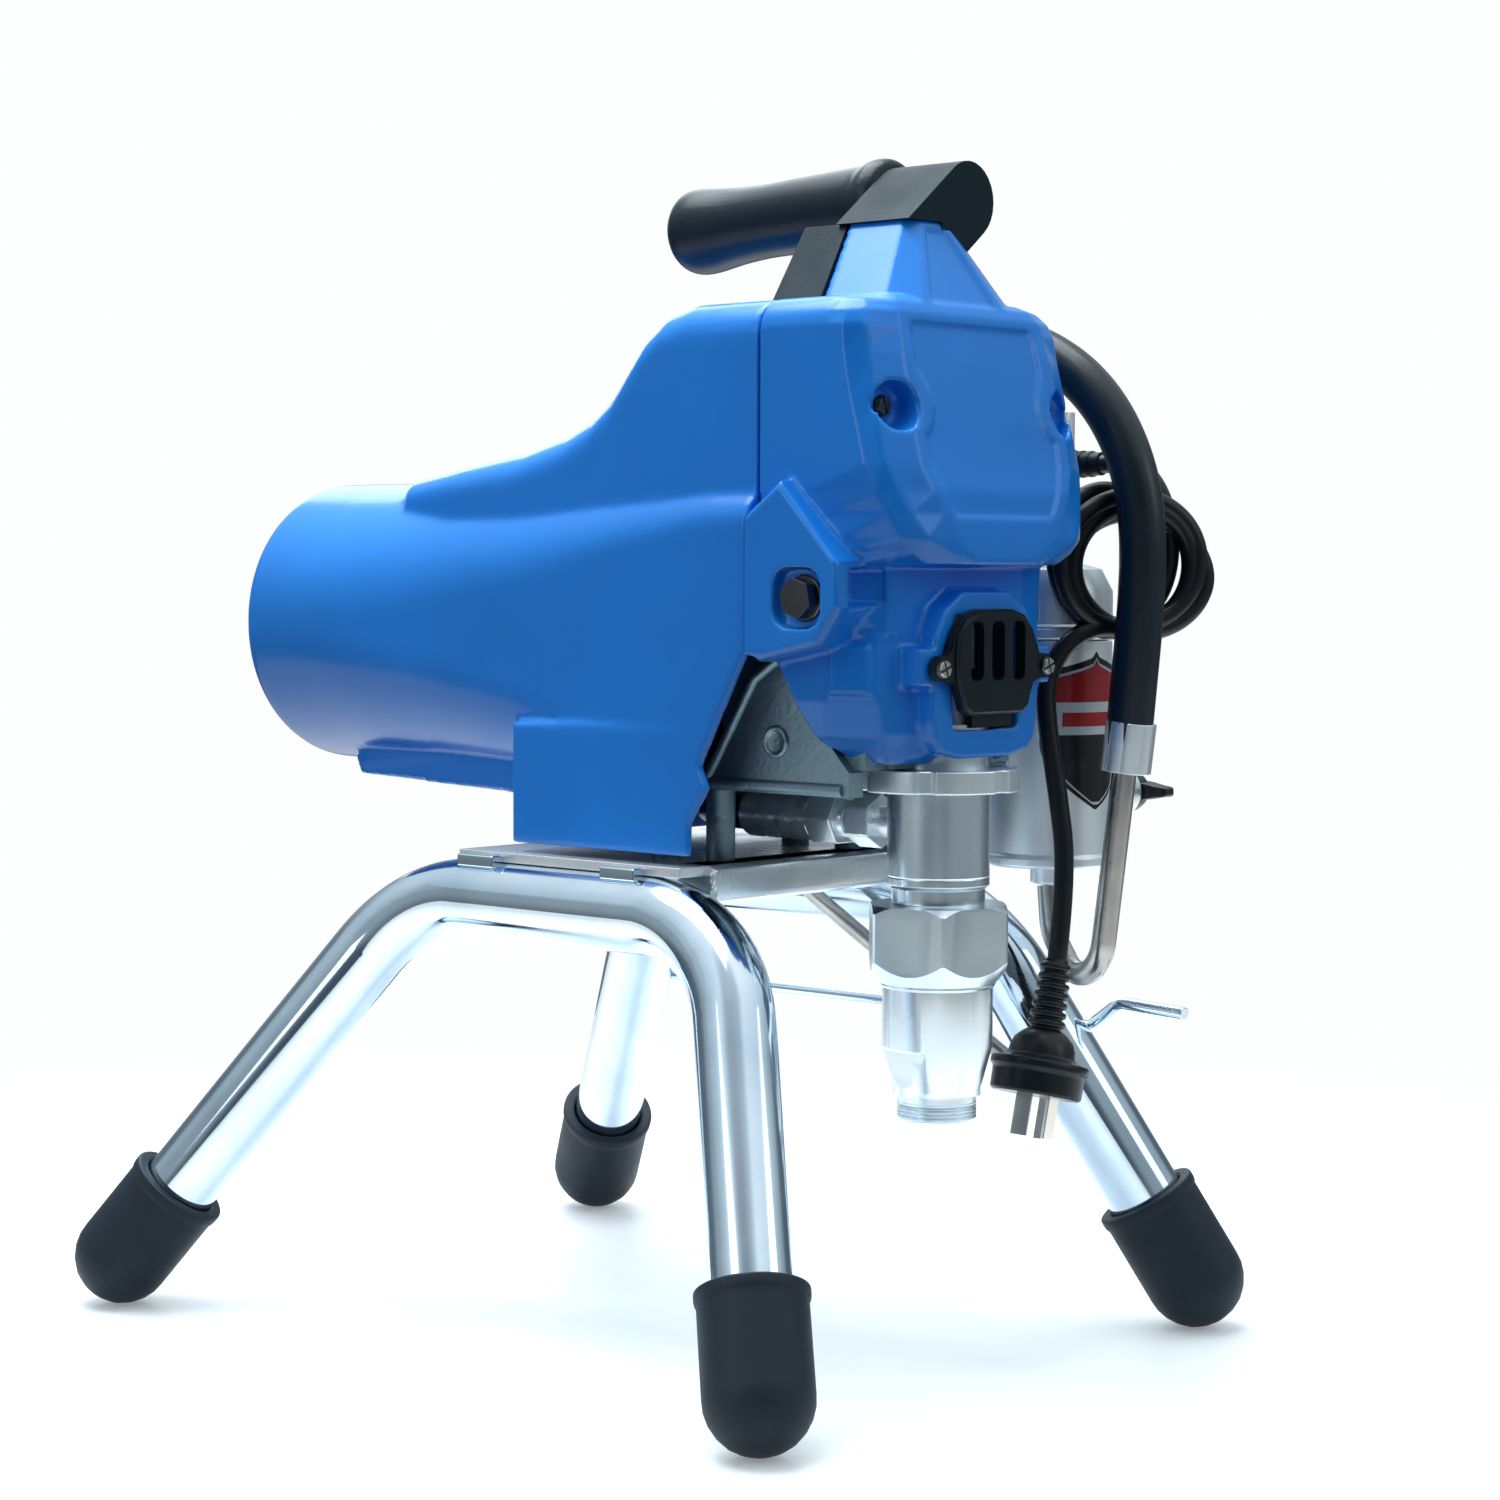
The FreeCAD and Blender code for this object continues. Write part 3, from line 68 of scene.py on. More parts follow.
# Materials ---------------------------------------------------------------------------------------
class Nodes:
    """A material's node tree, with short calls for the nodes used here."""

    def __init__(self, name):
        self.material = bpy.data.materials.new(name)
        self.material.use_nodes = True
        self.tree = self.material.node_tree
        self.shader = self.tree.nodes["Principled BSDF"]
        self.where = self.tree.nodes.new("ShaderNodeTexCoord").outputs["Object"]

    def new(self, kind, **values):
        node = self.tree.nodes.new("ShaderNode" + kind)
        for name, value in values.items():
            name = name.replace("_", " ")
            if name in node.inputs:
                node.inputs[name].default_value = value
        return node

    def link(self, source, target):
        self.tree.links.new(source, target)

    def stretched(self, scale):
        """Object coordinates in metres, scaled by a vector."""
        node = self.new("Mapping")
        node.inputs["Scale"].default_value = scale
        self.link(self.where, node.inputs["Vector"])
        return node.outputs["Vector"]

    def noise(self, scale, detail=3.0, where=None, distortion=0.0):
        node = self.new("TexNoise", Scale=scale, Detail=detail, Distortion=distortion)
        self.link(where or self.where, node.inputs["Vector"])
        return node.outputs["Fac"]

    def ramp(self, value, low, high, low_out=0.0, high_out=1.0):
        node = self.new("MapRange", From_Min=low, From_Max=high, To_Min=low_out, To_Max=high_out)
        self.link(value, node.inputs["Value"])
        return node.outputs["Result"]

    def blend(self, value, first, second):
        node = self.tree.nodes.new("ShaderNodeMix")
        node.data_type = "RGBA"
        self.link(value, node.inputs["Factor"])
        for socket, colour in ((node.inputs[6], first), (node.inputs[7], second)):
            if isinstance(colour, tuple):
                socket.default_value = (*colour, 1)
            else:
                self.link(colour, socket)
        return node.outputs[2]

    def bump(self, value, strength, distance, previous=None):
        node = self.new("Bump", Strength=strength, Distance=distance)
        self.link(value, node.inputs["Height"])
        if previous is not None:
            self.link(previous, node.inputs["Normal"])
        return node.outputs["Normal"]

    def edge(self, low=0.52, high=0.6):
        geometry = self.tree.nodes.new("ShaderNodeNewGeometry")
        return self.ramp(geometry.outputs["Pointiness"], low, high)

    def finish(self, colour, roughness, normal=None, **shader):
        for name, value in (("Base Color", colour), ("Roughness", roughness), ("Normal", normal)):
            if value is not None:
                self.link(value, self.shader.inputs[name])
        for name, value in shader.items():
            self.shader.inputs[name.replace("_", " ")].default_value = value
        return self.material


def plastic(name, colour, edge_colour, roughness, coat=0.0, grain=0.0, grain_scale=900, spread=0.06, shine=0.3):
    """Moulded plastic or paint: slight colour drift, paler edges, dust-like roughness, fine grain."""
    n = Nodes(name)
    drift = n.ramp(n.noise(14, 4), 0.3, 0.7)
    darker = tuple(0.86 * value for value in colour)
    base = n.blend(drift, darker, colour)
    # Convex edges, found by pointiness, are painted in the paler edge colour.
    base = n.blend(n.edge(0.54, 0.66), base, edge_colour)
    rough = n.ramp(n.noise(60, 5), 0.25, 0.75, roughness - spread, roughness + spread)
    normal = n.bump(n.noise(38, 1.0), 0.05, 0.0004)
    if grain:
        normal = n.bump(n.noise(grain_scale, 2), grain, 0.0003, normal)
    return n.finish(base, rough, normal, Coat_Weight=coat, Coat_Roughness=0.08, Specular_IOR_Level=shine)


def metal(name, colour, dull, roughness, spread=0.06, stretch=(1, 1, 1), brush=0.0, scale=40, pits=0.0,
          metallic=1.0):
    """Bare metal: mottled tone, uneven roughness, brushing along one direction, light edges."""
    n = Nodes(name)
    mottle = n.ramp(n.noise(scale, 5, distortion=0.4), 0.3, 0.72)
    base = n.blend(mottle, dull, colour)
    base = n.blend(n.edge(), base, tuple(min(1.0, 1.12 * value) for value in colour))
    lines = n.noise(900, 2, n.stretched(stretch))
    smear = n.ramp(n.noise(scale * 0.6, 4), 0.3, 0.7, roughness - spread, roughness + spread)
    normal = n.bump(lines, 0.01 + 0.6 * brush, 0.0001)
    if pits:
        normal = n.bump(n.noise(420, 4), pits, 0.0006, normal)
    return n.finish(base, smear, normal, Metallic=metallic)


M = {
    "blue": plastic("blue_gloss", (0.013, 0.255, 0.86), (0.05, 0.40, 0.98), 0.24, 0.15, spread=0.03),
    "rubber": plastic("foot_rubber", (0.012, 0.022, 0.036), (0.03, 0.045, 0.065), 0.55, 0.0, 0.12, 700,
                      shine=0.28),
    "black": plastic("black_plastic", (0.006, 0.013, 0.018), (0.02, 0.03, 0.04), 0.42, 0.0, 0.10, 1200,
                     shine=0.2),
    "arm": plastic("arm_plastic", (0.006, 0.020, 0.032), (0.03, 0.05, 0.07), 0.55, 0.0, 0.32, 1100,
                   shine=0.16),
    "grip": plastic("grip_rubber", (0.006, 0.016, 0.027), (0.02, 0.035, 0.05), 0.34, 0.03, 0.05, 800,
                    shine=0.28),
    "hose": plastic("hose_rubber", (0.006, 0.015, 0.024), (0.02, 0.03, 0.042), 0.34, 0.08, 0.08, 900,
                    shine=0.4),
    "cord": plastic("cord_jacket", (0.005, 0.008, 0.011), (0.018, 0.02, 0.025), 0.36, 0.1, 0.08, 1500),
    "knob": plastic("knob_plastic", (0.014, 0.015, 0.018), (0.04, 0.04, 0.045), 0.3, 0.2),
    "white": plastic("mark_white", (0.80, 0.80, 0.80), (0.85, 0.85, 0.85), 0.4),
    "label_black": plastic("label_black", (0.012, 0.012, 0.014), (0.02, 0.02, 0.02), 0.3, 0.3),
    "label_white": plastic("label_white", (0.78, 0.79, 0.80), (0.8, 0.8, 0.8), 0.3, 0.3),
    "label_red": plastic("label_red", (0.52, 0.018, 0.022), (0.55, 0.03, 0.03), 0.3, 0.3),
    "board": plastic("board_green", (0.02, 0.16, 0.07), (0.05, 0.2, 0.1), 0.4, 0.2),
    "leather": plastic("packing_leather", (0.50, 0.44, 0.33), (0.6, 0.55, 0.45), 0.6),
    "motor": plastic("motor_paint", (0.02, 0.02, 0.023), (0.08, 0.08, 0.085), 0.4, 0.2, 0.1, 600),
    "chrome": metal("chrome_tube", (0.74, 0.85, 0.95), (0.56, 0.67, 0.79), 0.09, 0.05, (1, 1, 1), 0.0, 22),
    "steel": metal("turned_steel", (0.78, 0.86, 0.91), (0.68, 0.76, 0.82), 0.27, 0.04, (1, 1, 14), 0.0, 24),
    "stainless": metal("stainless_tube", (0.52, 0.50, 0.47), (0.38, 0.37, 0.35), 0.30, 0.08, (1, 1, 6), 0.05,
                       70),
    "zinc": metal("zinc_plate", (0.90, 0.96, 0.98), (0.76, 0.83, 0.87), 0.27, 0.06, metallic=0.68),
    "screw": metal("screw_steel", (0.50, 0.49, 0.45), (0.38, 0.37, 0.34), 0.30),
    "cast": metal("cast_metal", (0.20, 0.28, 0.32), (0.13, 0.18, 0.21), 0.5, 0.08, (1, 1, 1), 0.1, 50, 0.5),
    "filter": metal("filter_steel", (0.90, 0.95, 0.98), (0.80, 0.87, 0.92), 0.42, 0.05, (1, 1, 0.06), 0.06,
                    30, metallic=0.75),
    "hard": metal("hard_steel", (0.44, 0.45, 0.47), (0.30, 0.31, 0.33), 0.30, 0.08, (1, 1, 1), 0.05, 60),
    "alu": metal("box_aluminium", (0.88, 0.93, 0.96), (0.78, 0.84, 0.88), 0.40, 0.06, (1, 1, 0.08), 0.08, 30,
                 metallic=0.8),
    "brass": metal("brass_fitting", (0.66, 0.47, 0.20), (0.5, 0.34, 0.13), 0.3, 0.08),
    "pin": metal("plug_pin_metal", (0.80, 0.77, 0.70), (0.6, 0.57, 0.5), 0.26, 0.06),
    "dark": metal("dark_fastener", (0.10, 0.10, 0.105), (0.05, 0.05, 0.055), 0.36, 0.08),
}


# Shapes ------------------------------------------------------------------------------------------
def basis(axis, spin=0.0):
    """The rotation that takes Z to axis after a spin about it, in degrees."""
    return (Vector(UP).rotation_difference(Vector(axis).normalized()).to_matrix()
            @ Matrix.Rotation(math.radians(spin), 3, "Z"))


def rounded(points, radius, step=4.0):
    """Points along straight runs joined by tangent arcs."""
    points = [Vector(point) for point in points]
    line = [points[0]]
    for before, corner, after in zip(points, points[1:], points[2:]):
        run_in, run_out = corner - before, after - corner
        turn = run_in.angle(run_out)
        reach = radius * math.tan(turn / 2)
        first = corner - run_in.normalized() * reach
        normal = run_in.cross(run_out).normalized()
        centre = first + normal.cross(run_in).normalized() * radius
        count = max(4, math.ceil(math.degrees(turn) / step))
        for index in range(count + 1):
            line.append(centre + Matrix.Rotation(turn * index / count, 3, normal) @ (first - centre))
    return line + [points[-1]]


class Build:
    """Collects closed shells in one mesh. Sizes are in millimetres."""

    def __init__(self, name):
        self.name = name
        self.mesh = bmesh.new()
        self.index = 0

    def paint(self, index):
        self.index = index
        return self

    def add(self, corners, faces):
        """Adds one shell; faces hold numbers of its corners."""
        made = [self.mesh.verts.new(Vector(corner) * MM) for corner in corners]
        for corner_numbers in faces:
            face = self.mesh.faces.new([made[number] for number in corner_numbers])
            face.material_index = self.index
            face.smooth = True
        return self

    def lathe(self, profile, base=(0, 0, 0), axis=UP, segments=72, ring=False):
        """Turns (radius, height) points about axis. With ring, the last point joins the first."""
        turn = basis(axis)
        base = Vector(base)
        corners, rows = [], []
        for radius, height in profile:
            if radius < 1e-6:
                rows.append([len(corners)])
                corners.append(base + turn @ Vector((0, 0, height)))
                continue
            rows.append(list(range(len(corners), len(corners) + segments)))
            for index in range(segments):
                angle = 2 * math.pi * index / segments
                spot = Vector((radius * math.cos(angle), radius * math.sin(angle), height))
                corners.append(base + turn @ spot)
        faces = []
        pairs = list(zip(rows, rows[1:] + ([rows[0]] if ring else [])))
        for low, high in pairs:
            for index in range(segments):
                after = (index + 1) % segments
                loop = [low[index % len(low)], low[after % len(low)],
                        high[after % len(high)], high[index % len(high)]]
                loop = list(dict.fromkeys(loop))
                if len(loop) > 2:
                    faces.append(loop)
        return self.add(corners, faces)

    def prism(self, outline, length, base=(0, 0, 0), axis=UP, spin=0.0, scale=1.0):
        """An outline in the plane across axis, carried along it; scale sizes the far end."""
        turn = basis(axis, spin)
        base = Vector(base)
        count = len(outline)
        corners = [base + turn @ Vector((across, up, 0)) for across, up in outline]
        corners += [base + turn @ Vector((across * scale, up * scale, length)) for across, up in outline]
        faces = [list(range(count))[::-1], list(range(count, 2 * count))]
        faces += [[index, (index + 1) % count, count + (index + 1) % count, count + index]
                  for index in range(count)]
        return self.add(corners, faces)

    def box(self, low, high):
        corners = [(x, y, z) for z in (low[2], high[2]) for y in (low[1], high[1]) for x in (low[0], high[0])]
        sides = [(0, 2, 3, 1), (4, 5, 7, 6), (0, 1, 5, 4), (2, 6, 7, 3), (0, 4, 6, 2), (1, 3, 7, 5)]
        return self.add(corners, sides)

    def loft(self, sections):
        """A closed solid through rings of equally many points, its ends capped."""
        count = len(sections[0])
        corners = [corner for section in sections for corner in section]
        faces = [list(range(count))[::-1], list(range(len(corners) - count, len(corners)))]
        for row in range(len(sections) - 1):
            for index in range(count):
                after = (index + 1) % count
                faces.append([row * count + index, row * count + after,
                              (row + 1) * count + after, (row + 1) * count + index])
        return self.add(corners, faces)

    def tube(self, line, radius, segments=32, radii=None):
        """A round bar along a line of points."""
        line = [Vector(point) for point in line]
        heading = (line[1] - line[0]).normalized()
        side = heading.orthogonal().normalized()
        sections = []
        for index, point in enumerate(line):
            before = line[max(index - 1, 0)]
            after = line[min(index + 1, len(line) - 1)]
            new_heading = (after - before).normalized()
            side = (heading.rotation_difference(new_heading) @ side).normalized()
            side = (side - new_heading * side.dot(new_heading)).normalized()
            heading = new_heading
            other = heading.cross(side)
            size = radii[index] if radii else radius
            sections.append([point + (side * math.cos(2 * math.pi * step / segments)
                                      + other * math.sin(2 * math.pi * step / segments)) * size
                             for step in range(segments)])
        return self.loft(sections)

    def object(self, triangles=True):
        """Makes the object; solids for booleans are made of triangles."""
        if triangles:
            bmesh.ops.triangulate(self.mesh, faces=self.mesh.faces)
        bmesh.ops.recalc_face_normals(self.mesh, faces=self.mesh.faces)
        mesh = bpy.data.meshes.new(self.name)
        self.mesh.to_mesh(mesh)
        self.mesh.free()
        made = bpy.data.objects.new(self.name, mesh)
        scene.collection.objects.link(made)
        return made

    def done(self, nodes, slot, looks, bevel=0.4, body="base", segments=3, angle=32):
        """Makes the object and finishes it with dress()."""
        return dress(self.object(False), nodes, looks, bevel, body, segments, angle)


def modify(made, kind, **values):
    """Adds a modifier and sets its values."""
    modifier = made.modifiers.new(kind.lower(), kind)
    for name, value in values.items():
        setattr(modifier, name, value)
    return modifier


def baked(made):
    """Applies an object's modifiers."""
    bpy.context.view_layer.update()
    graph = bpy.context.evaluated_depsgraph_get()
    mesh = bpy.data.meshes.new_from_object(made.evaluated_get(graph))
    old = made.data
    made.modifiers.clear()
    made.data = mesh
    bpy.data.meshes.remove(old)
    return made


def merge_flat_faces(mesh):
    """Joins coplanar triangles, so that rounded edges and shading stay clean."""
    work = bmesh.new()
    work.from_mesh(mesh)
    bmesh.ops.dissolve_limit(work, angle_limit=math.radians(0.6), verts=work.verts, edges=work.edges,
                             delimit={"MATERIAL"})
    work.to_mesh(mesh)
    work.free()


def dress(made, nodes, looks, bevel=0.4, body="base", segments=3, angle=32):
    """Gives a piece its rounding, materials and place in the frame."""
    for look in looks if isinstance(looks, (list, tuple)) else [looks]:
        made.data.materials.append(M[look])
    for polygon in made.data.polygons:
        polygon.use_smooth = True
    if bevel:
        merge_flat_faces(made.data)
        modify(made, "BEVEL", width=bevel * MM, segments=segments, limit_method="ANGLE",
               angle_limit=math.radians(angle), use_clamp_overlap=True)
        modify(made, "WEIGHTED_NORMAL", keep_sharp=False, weight=60)
    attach(made, body)
    if nodes:
        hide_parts(*nodes)
    return made


def carve(base, cutters, operation="DIFFERENCE"):
    """Cuts or joins solids with the exact boolean, then removes the cutters."""
    for cutter in cutters:
        modify(base, "BOOLEAN", object=cutter, operation=operation, solver="EXACT")
        baked(base)
        old = cutter.data
        bpy.data.objects.remove(cutter)
        bpy.data.meshes.remove(old)
    return base


def moulded(base, voxel, passes):
    """Remeshes a solid finely and relaxes it, which rounds every edge like a moulding."""
    modify(base, "REMESH", mode="VOXEL", voxel_size=voxel * MM, use_smooth_shade=True)
    modify(base, "SMOOTH", factor=0.5, iterations=passes)
    return baked(base)


def regular(count, radius):
    """The corners of a regular polygon."""
    return [(radius * math.cos(2 * math.pi * index / count), radius * math.sin(2 * math.pi * index / count))
            for index in range(count)]


def scalloped(count, rows):
    """A round outline that repeats its (angle in degrees, radius) rows count times."""
    points = []
    for index in range(count):
        for angle, radius in rows:
            turn = math.radians(360 // count * index + angle)
            points.append((radius * math.cos(turn), radius * math.sin(turn)))
    return points


def rounded_outline(corners, radius, count=5):
    """A polygon with its corners replaced by arcs."""
    made = []
    total = len(corners)
    for index in range(total):
        before, corner, after = (Vector(corners[(index + shift) % total]) for shift in (-1, 0, 1))
        run_in, run_out = (before - corner), (after - corner)
        reach = min(radius, 0.45 * run_in.length, 0.45 * run_out.length)
        first, last = corner + run_in.normalized() * reach, corner + run_out.normalized() * reach
        for step in range(count + 1):
            share = step / count
            spot = first * (1 - share) ** 2 + corner * 2 * share * (1 - share) + last * share ** 2
            made.append((spot.x, spot.y))
    return made


def round_curve(name, route, radius, order, steps, roundness, look):
    """A cord or hose of one thickness on a smooth curve along its route."""
    curve = bpy.data.curves.new(name, "CURVE")
    curve.dimensions = "3D"
    line = curve.splines.new("NURBS")
    line.points.add(len(route) - 1)
    for point, place in zip(line.points, route):
        point.co = (*(Vector(place) * MM), 1)
    line.order_u = order
    line.use_endpoint_u = True
    line.resolution_u = steps
    curve.bevel_depth = radius * MM
    curve.bevel_resolution = roundness
    curve.use_fill_caps = True
    curve.materials.append(M[look])
    made = bpy.data.objects.new(name, curve)
    scene.collection.objects.link(made)
    return made


# Mains cord --------------------------------------------------------------------------------------
CORD_RADIUS = 3.75
CORD_GLAND = (110, -116, 341)
PLUG_TOP = (57.9, -155, 151)
COIL_CENTRE = Vector((95.3, -160.5, 305.0))
COIL_ACROSS = Vector((0.858, -0.513, 0.0))
COIL_BACK = Vector((0.513, 0.858, 0.0))


def coil_points():
    """Loose turns that differ in size and fan out, wound clockwise from the right side."""
    # centre shift across, centre shift up, half-width, half-height, place towards the rear
    turns = [(-4.0, -1.0, 22.5, 27.0, 3.6), (-12.0, -2.0, 23.0, 27.5, 1.4), (6.0, -8.0, 26.0, 22.5, -1.2),
             (-3.0, -4.0, 28.0, 25.5, -2.8), (-1.0, -2.0, 29.0, 26.0, -3.4)]
    steps = 12
    points = []
    for index in range(steps * 4 + 4):
        share = index / steps
        low = min(int(share), len(turns) - 1)
        high = min(low + 1, len(turns) - 1)
        part = share - low
        shift, lift, wide, tall, back = ((1 - part) * first + part * second
                                         for first, second in zip(turns[low], turns[high]))
        angle = math.radians(-360 * share)
        spot = (COIL_CENTRE + COIL_ACROSS * (shift + wide * math.cos(angle))
                + COIL_BACK * back + Vector((0, 0, lift + tall * math.sin(angle))))
        points.append(tuple(spot))
    return points


def make_cord():
    """The lead out of the gland, the coil, and the drop to the plug."""
    lead = [(110, -136, 341), (110.3, -146, 341), (110.8, -156, 338), (111, -163.5, 329), (111.4, -167, 317)]
    drop = [(80, -155, 278), (69.5, -148.5, 271), (62.8, -144.9, 258), (61.2, -146.6, 241), (62.4, -151, 216),
            (63.3, -155.5, 184), PLUG_TOP]
    cord = round_curve("mains_cord", lead + coil_points() + drop, CORD_RADIUS, 3, 8, 6, "cord")
    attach(cord, "base")
    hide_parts("power_cord", "cord_coil")
    return cord


def make_plug():
    """Ribbed strain relief, round plug body and flat pins."""
    top = Vector(PLUG_TOP)
    down = Vector((-13.1, 0, -50.6)).normalized()
    profile = [(0, 0), (4.4, 0), (4.7, 1.2)]
    for index in range(7):
        at = 2.0 + 3.6 * index
        thick = 5.6 + 0.22 * index
        profile += [(thick, at), (thick + 0.35, at + 0.7), (thick + 0.35, at + 1.5), (thick, at + 2.2),
                    (thick - 1.1, at + 2.5), (thick - 1.1, at + 3.3)]
    profile += [(7.2, 27.5), (8.8, 28.6), (11.2, 31), (12.4, 34), (12.8, 37), (14.2, 38.2), (18.2, 39.2),
                (18.8, 40.2), (18.8, 42.2), (17.9, 43.2), (17.6, 44.2), (17.5, 51.4), (16.6, 52.3), (0, 52.3)]
    body = Build("mains_plug").lathe(profile, top, down, 64)
    plug = body.done(["plug_body"], "cord_jacket", "cord", bevel=0.25)
    pins = Build("mains_plug_pins")
    turn = basis(down)
    for across, along, spin in ((-6.5, 0, 25), (6.5, 0, -25), (0, -8.5, 90)):
        base = top + turn @ Vector((across, along, 52.0))
        outline = rounded_outline([(-0.8, -3.15), (0.8, -3.15), (0.8, 3.15), (-0.8, 3.15)], 0.3, 2)
        pins.prism(outline, 16.2, base, down, spin)
    pins = pins.done(["plug_pins"], "pin_brass", "pin", bevel=0.25)
    return plug, pins


cord = make_cord()
plug, pins = make_plug()
sleeve = [(0, 0), (7, 0), (7, 4.2), (5.6, 5.2), (5.6, 7.2), (5.0, 7.8), (5.0, 9.4), (5.4, 9.8), (5.4, 11.4),
          (4.8, 12), (4.8, 13.6), (5.2, 14), (5.2, 15.6), (4.6, 16.2), (4.6, 20), (0, 20)]
gland = (Build("cord_gland_sleeve").lathe(sleeve, CORD_GLAND, FORWARD, 40)
         .done(["cord_gland"], "black_plastic", "black", 0.2))


# Stand -------------------------------------------------------------------------------------------
RAIL_ACROSS = 69
RAIL_RADIUS = 15.0


def foot(side, end):
    """The lower end of a leg; side and end are -1 for left and front."""
    return Vector((side * (128.3 if end < 0 else 135.7), end * 171.0, 20.0))


def rail(side, end):
    """The corner where a leg's line meets its top tube's line."""
    return Vector((side * RAIL_ACROSS, -101.5 if end < 0 else 66.2, 170.7))


def make_stand():
    """Two bent tubes with rubber feet, the plate between them, the hook rod and the brace."""
    for side, name in ((-1, "left"), (1, "right")):
        line = rounded([foot(side, -1), rail(side, -1), rail(side, 1), foot(side, 1)], radius=60, step=2)
        bar = Build(f"stand_tube_{name}").tube(line, RAIL_RADIUS, 64)
        # Pads that carry the machine.
        for low, high in ((-62, -44), (14, 34)):
            bar.box((side * RAIL_ACROSS - 9, low, 183.6), (side * RAIL_ACROSS + 9, high, 188.6))
        bar.done([f"frame_tube_{name}"], "chrome_tube", "chrome", 0.8)
    profile = [(0, -20), (4, -19.6), (8, -18.3), (12, -16), (15.5, -12.4), (18, -8.2), (19.3, -4), (19.6, 0),
               (19.6, 32.5), (20.2, 33.5), (20.4, 35), (20.4, 37.4), (19.6, 38), (16.2, 38), (15.4, 37.2),
               (15.4, 28), (0, 28)]
    for side, across in ((-1, "left"), (1, "right")):
        for end, along in ((-1, "front"), (1, "rear")):
            here = foot(side, end)
            axis = rail(side, end) - here
            cap = Build(f"rubber_foot_{along}_{across}").lathe(profile, here, axis, 72)
            cap.done([f"foot_cap_{along}_{across}"], "foot_rubber", "rubber", 0.5)
    plate = Build("platform")
    plate.box((-72, -80, 185.8), (72, 39, 189.6))
    # Rolled front lip, with a rough weld at each of its ends.
    section = [(-84.9, 179), (-84.2, 176.6), (-82, 175.5), (-79.5, 175.7), (-72, 179.5), (-62, 184.6),
               (-62, 186.4), (-66, 189.6), (-81, 189.6), (-83.6, 188.4), (-84.7, 186)]
    plate.loft([[(across, along, up) for along, up in section] for across in (-57, 57)])
    for side in (-1, 1):
        seam = [(side * (57 + 0.4 * math.sin(step)), -83 + 0.3 * math.cos(2 * step), 176 + step * 1.15)
                for step in range(12)]
        plate.tube(seam, 1.5, 12, [1.0 + 0.5 * (step % 2) for step in range(12)])
    plate.done(["platform_plate"], "zinc_steel", "zinc", 0.5)
    hook = rounded([(107, 112, 118.5), (107, -136, 119), (106, -150, 129), (104, -182, 128)], radius=9)
    Build("hanger_rod").tube(hook, 2.6, 24).done(["hook_rod"], "chrome_tube", "chrome", 0.4)
    brace = rounded([(30, -42, 182), (37, -50, 170), (103, -146, 74)], radius=12)
    Build("diagonal_brace").tube(brace, 3.2, 24).done(["brace_rod"], "zinc_steel", "stainless", 0.4)


make_stand()


# Pump --------------------------------------------------------------------------------------------
PUMP_Y = -143.4
PUMP = (0, PUMP_Y, 0)


def make_pump():
    """Barrel, notched lock ring, intake body with its thread, and packing nut."""
    profile = [(14, 160), (17, 160), (17, 176), (17.4, 176.6), (17.4, 182), (18.4, 182.6), (19, 183.4),
               (19, 186), (18.75, 186.3), (19, 186.6), (19, 217), (19, 243), (16, 243), (16, 222), (14, 222)]
    steel = Build("pump_barrel").lathe(profile, PUMP, segments=96, ring=True)
    steel.done(["pump_cylinder"], "machined_steel", "steel", 0.35)
    notched = [(-23, 29.8), (-16, 30), (0, 30), (16, 30), (23, 29.8), (26, 27.4), (34, 27.4)]
    solid = Build("lock_ring").prism(scalloped(6, notched), 8.5, (0, PUMP_Y, 218)).object()
    hole = Build("tool").lathe([(0, 0), (19, 0), (19, 14), (0, 14)], (0, PUMP_Y, 215)).object()
    dress(carve(solid, [hole]), ["jam_nut"], "zinc", 0.7)

    # Hexagon with turned shoulders above a tapered spigot with flats, bored through.
    solid = Build("intake_body").prism(regular(6, 28.6), 30, (0, PUMP_Y, 147.0), UP, -137).object()
    shoulders = [(0, 146), (21, 146), (28.2, 155.5), (28.2, 173.4), (25.6, 176), (0, 176)]
    turned = Build("tool").lathe(shoulders, PUMP, segments=120).object()
    carve(solid, [turned], "INTERSECT")
    spigot = [(0, 102), (14.6, 102), (14.6, 105), (16.3, 105.4), (16.3, 108), (20.5, 123.5), (20.5, 145.2),
              (21.4, 146.2), (21.4, 150), (0, 150)]
    lower = Build("tool").lathe(spigot, PUMP, segments=120).object()
    flat = [(16.6, -12), (26, -12), (26, 12), (16.6, 12)]
    carve(lower, [Build("tool").prism(flat, 17, (0, PUMP_Y, 105.5), UP, 172).object()])
    carve(solid, [lower], "UNION")
    bore = [(0, 90), (9, 90), (9, 110), (12, 110), (12, 118), (11, 118), (11, 140), (14, 144), (14, 160),
            (17, 160), (17, 190), (0, 190)]
    carve(solid, [Build("tool").lathe(bore, PUMP).object()])
    dress(solid, ["intake_housing"], "steel", 0.45, angle=24)
    thread = Build("intake_thread")
    profile = [(9.0, 103.6), (9.0, 96.0), (13.6, 96.0)]
    for turn in range(5):
        at = 96.5 + 1.4 * turn
        profile += [(14.0, at), (14.8, at + 0.45), (14.8, at + 0.75), (14.0, at + 1.2)]
    profile += [(14.0, 103.6)]
    thread.lathe(profile, PUMP, segments=96, ring=True)
    thread.done([], "machined_steel", "steel", 0.12)

    solid = Build("packing_nut_top").prism(regular(6, 18.5), 12, (0, PUMP_Y, 243)).object()
    neck = Build("neck").lathe([(0, 236), (16, 236), (16, 244), (0, 244)], PUMP).object()
    hole = Build("tool").lathe([(0, 230), (11.8, 230), (11.8, 270), (0, 270)], PUMP).object()
    carve(solid, [neck], "UNION")
    dress(carve(solid, [hole]), ["packing_nut"], "zinc", 0.6)


